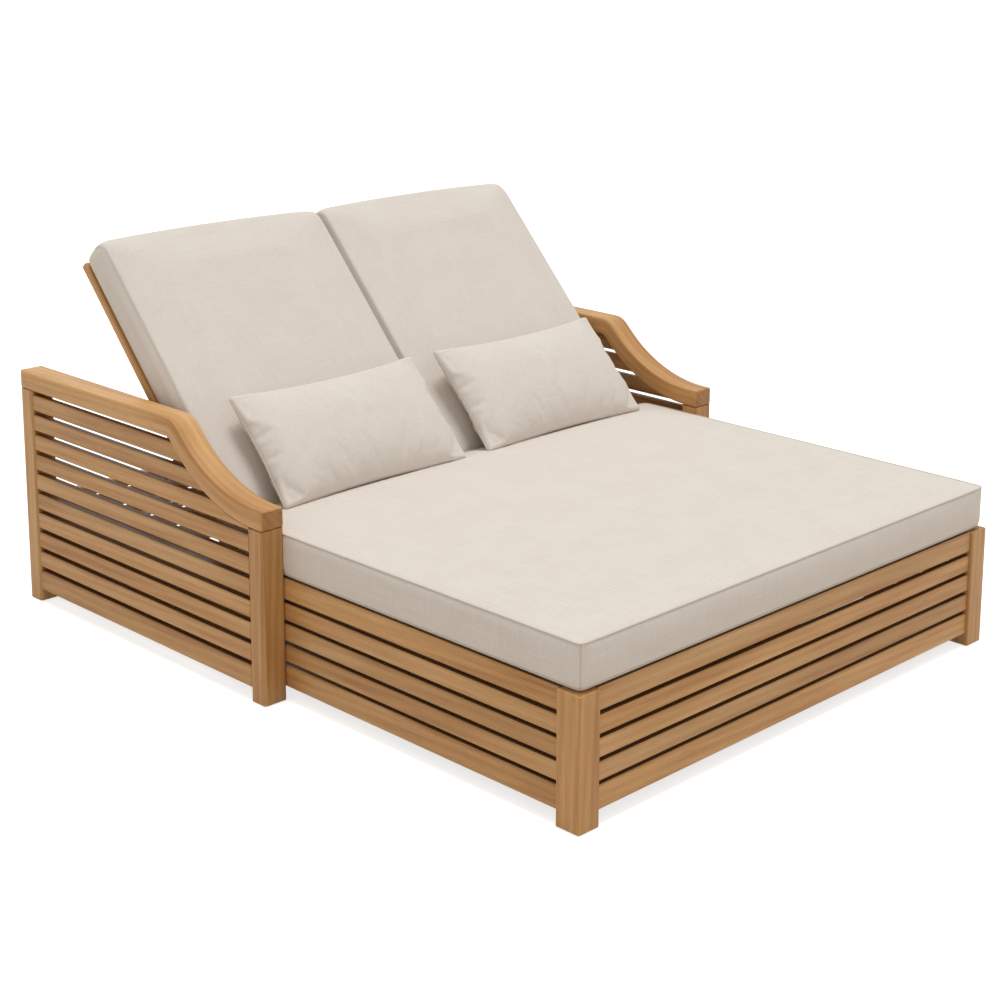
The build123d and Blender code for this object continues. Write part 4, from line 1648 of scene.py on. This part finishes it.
@dataclass
class Pillow:
    """A loose lumbar pillow: two panels sewn round the edge and filled, with a thin piping."""

    name: str
    node: str
    body: str
    leans_on: Sequence[bpy.types.Object]
    cell: float = 0.007
    rim: float = 0.004
    flare: float = 0.009
    long_flare: float = 0.013
    corner: float = 0.010
    taller: float = 0.010
    fuller: float = 0.009
    dome_powers: Triple = (2.6, 2.0, 0.56)
    plumpness: float = 0.74
    lift: float = 0.006
    piping: float = 0.0017
    piping_rise: float = 0.0006
    press_gap: float = 0.0005
    press_reach: float = 0.03
    start: float = 0.88
    inflation: Inflation = field(
        default_factory=lambda: Inflation(
            pressure=5.0, cap=0.02, stretch=20.0, bending=0.6, shrink=-0.025
        )
    )

    def build(self, fabrics: Fabrics) -> bpy.types.Object:
        """Builds, fills, pipes and places the pillow.

        Args:
            fabrics: The pillow's fabric and thread.

        Returns:
            The finished piece.
        """
        tilt = Matrix.Rotation(backrest_tilt(), 4, "X")
        low, high = local_box(self.node, tilt)
        high.y += self.taller
        high.z += self.fuller
        size = high - low
        piece = self.panel(size)
        rim_order = self.rim_of(piece)
        count = len(piece.data.vertices)
        finish_with(piece, "SOLIDIFY", thickness=self.rim, offset=0)
        reshape(piece, lambda point: self.swollen(point, size))
        self.inflation.run(piece, [*rim_order, *(index + count for index in rim_order)])
        self.fit(piece, size)
        points = piece.data.vertices
        rim_line = [(points[index].co + points[index + count].co) / 2 for index in rim_order]
        finish_with(piece, "SUBSURF", levels=1, render_levels=1)
        bpy.ops.object.shade_smooth()
        line = smoothed(laid_on(surface_of(piece), rim_line, self.piping_rise), 1, True)
        cord = tube(f"{self.name}_piping", line, self.piping, True)
        dress(piece, fabrics.linen)
        # The piping takes the darker finish, partly painted shade along the seam
        dress(cord, fabrics.thread)
        whole = joined([piece, cord])
        keep_places(whole, WEAVE_ATTRIBUTE, [vertex.co for vertex in whole.data.vertices])
        centre = (low + high) / 2 + Vector((0.0, self.lift, 0.0))
        whole.data.transform(Matrix.Translation(tilt @ centre) @ tilt)
        for neighbour in self.leans_on:
            pushed_out(whole, neighbour, self.press_gap, self.press_reach)
        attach(whole, self.body)
        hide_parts(self.node)
        LOG.info("%s built with %d faces", self.name, len(whole.data.polygons))
        return whole

    def panel(self, size: Vector) -> bpy.types.Object:
        """Cuts one flat panel of the pillow.

        Args:
            size: The pillow's size.

        Returns:
            The panel, with its middle at the origin.
        """
        bpy.ops.object.select_all(action="DESELECT")
        bpy.ops.mesh.primitive_grid_add(
            x_subdivisions=round(size.x / self.cell), y_subdivisions=round(size.y / self.cell),
            size=1,
        )
        piece = bpy.context.object
        piece.name = self.name
        piece.scale = (size.x, size.y, 1)
        bpy.ops.object.transform_apply(location=True, rotation=True, scale=True)
        reshape(piece, lambda point: self.cut_out(point, size))
        return piece

    def cut_out(self, point: Vector, size: Vector) -> Vector:
        """Draws the panel's sides in between its corners, and rounds the corners a little.

        Args:
            point: A point of the panel.
            size: The pillow's size.

        Returns:
            The moved point.
        """
        half_x, half_y = size.x / 2, size.y / 2
        for corner_x in (-half_x, half_x):
            for corner_y in (-half_y, half_y):
                corner = (corner_x, corner_y)
                point.x, point.y = corner_mapped(point.x, point.y, corner, self.corner)
        u, v = point.x / half_x, point.y / half_y
        point.x -= self.flare * u * (1 - v * v)
        point.y -= self.long_flare * v * (1 - u * u)
        return point

    def rim_of(self, piece: bpy.types.Object) -> list[int]:
        """Follows the edge of the flat panel.

        Args:
            piece: The panel.

        Returns:
            The vertices round its edge, in order.
        """
        mesh = bmesh.new()
        mesh.from_mesh(piece.data)
        start = next(vertex for vertex in mesh.verts if vertex.is_boundary)
        order, last, here = [], None, start
        while here is not None:
            order.append(here.index)
            ways = [edge.other_vert(here) for edge in here.link_edges if edge.is_boundary]
            onward = [vertex for vertex in ways if vertex is not last]
            last, here = here, onward[0]
            if here is start:
                here = None
        mesh.free()
        return order

    def swollen(self, point: Vector, size: Vector) -> Vector:
        """Starts the filling by a formula, so that the simulation only has to settle it.

        Args:
            point: A point of either panel.
            size: The pillow's size.

        Returns:
            The moved point.
        """
        v = abs(point.y) / (size.y / 2)
        u = abs(point.x) / (size.x / 2)
        v = min(1.0, v / (1 - self.long_flare * (1 - u * u) * 2 / size.y))
        u = min(1.0, u / (1 - self.flare * (1 - v * v) * 2 / size.x))
        long_power, short_power, fullness = self.dome_powers
        dome = ((1 - u**long_power) * (1 - v**short_power)) ** fullness
        share = self.start
        point.z += math.copysign((size.z - self.rim) / 2 * share * dome, point.z)
        return point

    def fit(self, piece: bpy.types.Object, size: Vector) -> None:
        """Brings the filled pillow to its size about its own middle, and keeps its rim full.

        Args:
            piece: The filled pillow.
            size: The size that it gets.
        """
        low, high = span_of([vertex.co.copy() for vertex in piece.data.vertices])
        middle = (low + high) / 2
        scale = Vector([size[axis] / (high[axis] - low[axis]) for axis in range(3)])
        LOG.info("%s fitted by %.3f %.3f %.3f", self.name, *scale)
        reshape(piece, lambda point: self.plumped((point - middle) * scale, size.z / 2))

    def plumped(self, point: Vector, half: float) -> Vector:
        """Lifts what lies low near the rim more than what lies high.

        Args:
            point: A point of the fitted pillow.
            half: Half the pillow's thickness.

        Returns:
            The moved point.
        """
        height = half * (abs(point.z) / half) ** self.plumpness
        return Vector((point.x, point.y, math.copysign(height, point.z)))


@dataclass
class Upholstery:
    """The cushions and pillows."""

    fabrics: Fabrics

    def build(self) -> None:
        """Builds every soft piece in order."""
        seat = BoxCushion(
            "seat_pad", "seat_cushion", "frame", Matrix.Identity(4), cell=0.0162, corner=0.018,
            crown=0.011, bulge=0.005, outgrow=0.005, rise=0.005, roll=14.0,
            inflation=Inflation(cap=0.009),
        ).build(self.fabrics)
        for side in Side:
            label = side.label
            back = BoxCushion(
                f"back_pad_{label}", f"back_cushion_{label}", f"back_{label}", backrest_matrix(),
                cell=0.012, corner=0.016, nose=0.05, heel=0.02, crown=0.011, bulge=0.006,
                outgrow=0.005, bow=0.008, soften=8,
            ).build(self.fabrics)
            Pillow(
                f"lumbar_pillow_{label}", f"pillow_{label}", f"pillow_{label}", (back, seat)
            ).build(self.fabrics)


# Floor, lamp and camera


def background_rays(graph: Graph) -> bpy.types.NodeSocket:
    """Marks the rays that show the pale background.

    Args:
        graph: The tree that gets the nodes.

    Returns:
        1 for a ray seen directly, in a reflection or through glass, otherwise 0.
    """
    path = graph.add("ShaderNodeLightPath")
    seen = graph.math("MAXIMUM", path.outputs["Is Camera Ray"], path.outputs["Is Glossy Ray"])
    return graph.math("MAXIMUM", seen, path.outputs["Is Transmission Ray"])


@dataclass
class Studio:
    """The floor, the lamp, the world and the camera.

    The floor glows round the lounger and fades to its plain tone within the footprint, which paints
    shade on the floor under the lounger.
    """

    camera_place: Triple = (-3.5044, -3.5249, 1.9378)
    camera_yaw: float = 44.798
    camera_pitch: float = 12.169
    camera_roll: float = 0.145
    focal_pixels: float = 1961.1
    centre_row: float = 300.0
    ambient: float = 0.57
    key_strength: float = 1.5
    key_from: Triple = (0.03, -0.03, 0.97)
    key_spread: float = 20.0
    floor_tone: Colour = (0.71, 0.66, 0.59, 1.0)
    floor_roughness: float = 0.9
    floor_glow: float = 0.73
    floor_size: float = 60.0
    # Painted shade: the half sizes of the floor patch under the lounger that doesn't glow, and how
    # wide its edge fades
    footprint: tuple[float, float] = (0.42, 0.66)
    fade: float = 0.20

    def build(self) -> None:
        """Sets up everything round the lounger."""
        self.make_camera()
        self.make_floor()
        self.make_world()
        self.make_key()
        scene = bpy.context.scene
        scene.view_settings.view_transform = "Standard"
        LOG.info("studio set up")

    def make_camera(self) -> None:
        """Stands the camera where the photograph was taken from."""
        turns = (self.camera_yaw, self.camera_pitch, self.camera_roll)
        yaw, pitch, roll = (math.radians(turn) for turn in turns)
        ahead = Vector((
            math.sin(yaw) * math.cos(pitch), math.cos(yaw) * math.cos(pitch), -math.sin(pitch)
        ))
        level = Vector((math.cos(yaw), -math.sin(yaw), 0.0))
        above = level.cross(ahead)
        right = level * math.cos(roll) + above * math.sin(roll)
        up = above * math.cos(roll) - level * math.sin(roll)
        data = bpy.data.cameras.new("camera")
        data.sensor_width = SENSOR_WIDTH
        data.lens = self.focal_pixels / IMAGE_SIZE * SENSOR_WIDTH
        data.shift_y = (self.centre_row - IMAGE_SIZE / 2) / IMAGE_SIZE
        camera = bpy.data.objects.new("camera", data)
        bpy.context.scene.collection.objects.link(camera)
        turn = Matrix((right, up, -ahead)).transposed().to_4x4()
        camera.matrix_world = Matrix.Translation(self.camera_place) @ turn
        bpy.context.scene.camera = camera

    def make_floor(self) -> None:
        """Lays a pale floor that keeps the shadow and shows white round the lounger, with painted
        shade under it.
        """
        bpy.ops.object.select_all(action="DESELECT")
        bpy.ops.mesh.primitive_plane_add(size=self.floor_size, location=(0, 0, 0))
        floor = bpy.context.object
        floor.name = "floor"
        made, graph, shader = new_material("floor_white")
        coordinates = graph.add("ShaderNodeTexCoord").outputs["Object"]
        place = graph.add("ShaderNodeSeparateXYZ", {0: coordinates})
        # Painted shade: the glow fades out within the footprint, so the floor under the lounger
        # shows darker
        beyond = [
            graph.math("SUBTRACT", graph.math("ABSOLUTE", place.outputs[axis]), limit)
            for axis, limit in enumerate(self.footprint)
        ]
        outside = graph.math("DIVIDE", graph.math("MAXIMUM", *beyond), self.fade, clamp=True)
        glow = graph.math("MULTIPLY", outside, self.floor_glow)
        graph.feed(shader, {
            "Base Color": self.floor_tone, "Roughness": self.floor_roughness,
            "Specular IOR Level": 0.0, "Emission Color": (1, 1, 1, 1),
            "Emission Strength": graph.math("MULTIPLY", background_rays(graph), glow),
        })
        dress(floor, made)

    def make_world(self) -> None:
        """Lights the lounger evenly from all round, with a white view behind it."""
        world = bpy.data.worlds.new("studio")
        bpy.context.scene.world = world
        world.use_nodes = True
        graph = Graph(world.node_tree)
        seen = background_rays(graph)
        strength = graph.math("MULTIPLY_ADD", seen, 1.0 - self.ambient, self.ambient)
        graph.feed(
            world.node_tree.nodes["Background"], {"Color": (1, 1, 1, 1), "Strength": strength}
        )

    def make_key(self) -> None:
        """Adds the broad lamp above the lounger, whose spread softens the shadows."""
        data = bpy.data.lights.new("key", "SUN")
        data.energy = self.key_strength
        data.angle = math.radians(self.key_spread)
        lamp = bpy.data.objects.new("key", data)
        bpy.context.scene.collection.objects.link(lamp)
        lamp.rotation_euler = (-Vector(self.key_from)).to_track_quat("-Z", "Y").to_euler()


def main() -> None:
    """Builds the studio, the timber, the hardware and the soft pieces in order."""
    logging.basicConfig(level=logging.INFO, format="%(name)s: %(message)s")
    Studio().build()
    Joinery().dress_all()
    Hardware(
        SteelFinish().material("satin_steel"), GlideFinish().material("glide_plastic")
    ).dress_all()
    fabrics = Fabrics(LinenFinish().material("linen"), ThreadFinish().material("seam_thread"))
    Upholstery(fabrics).build()
    bpy.context.view_layer.update()


if __name__ == "__main__":
    main()
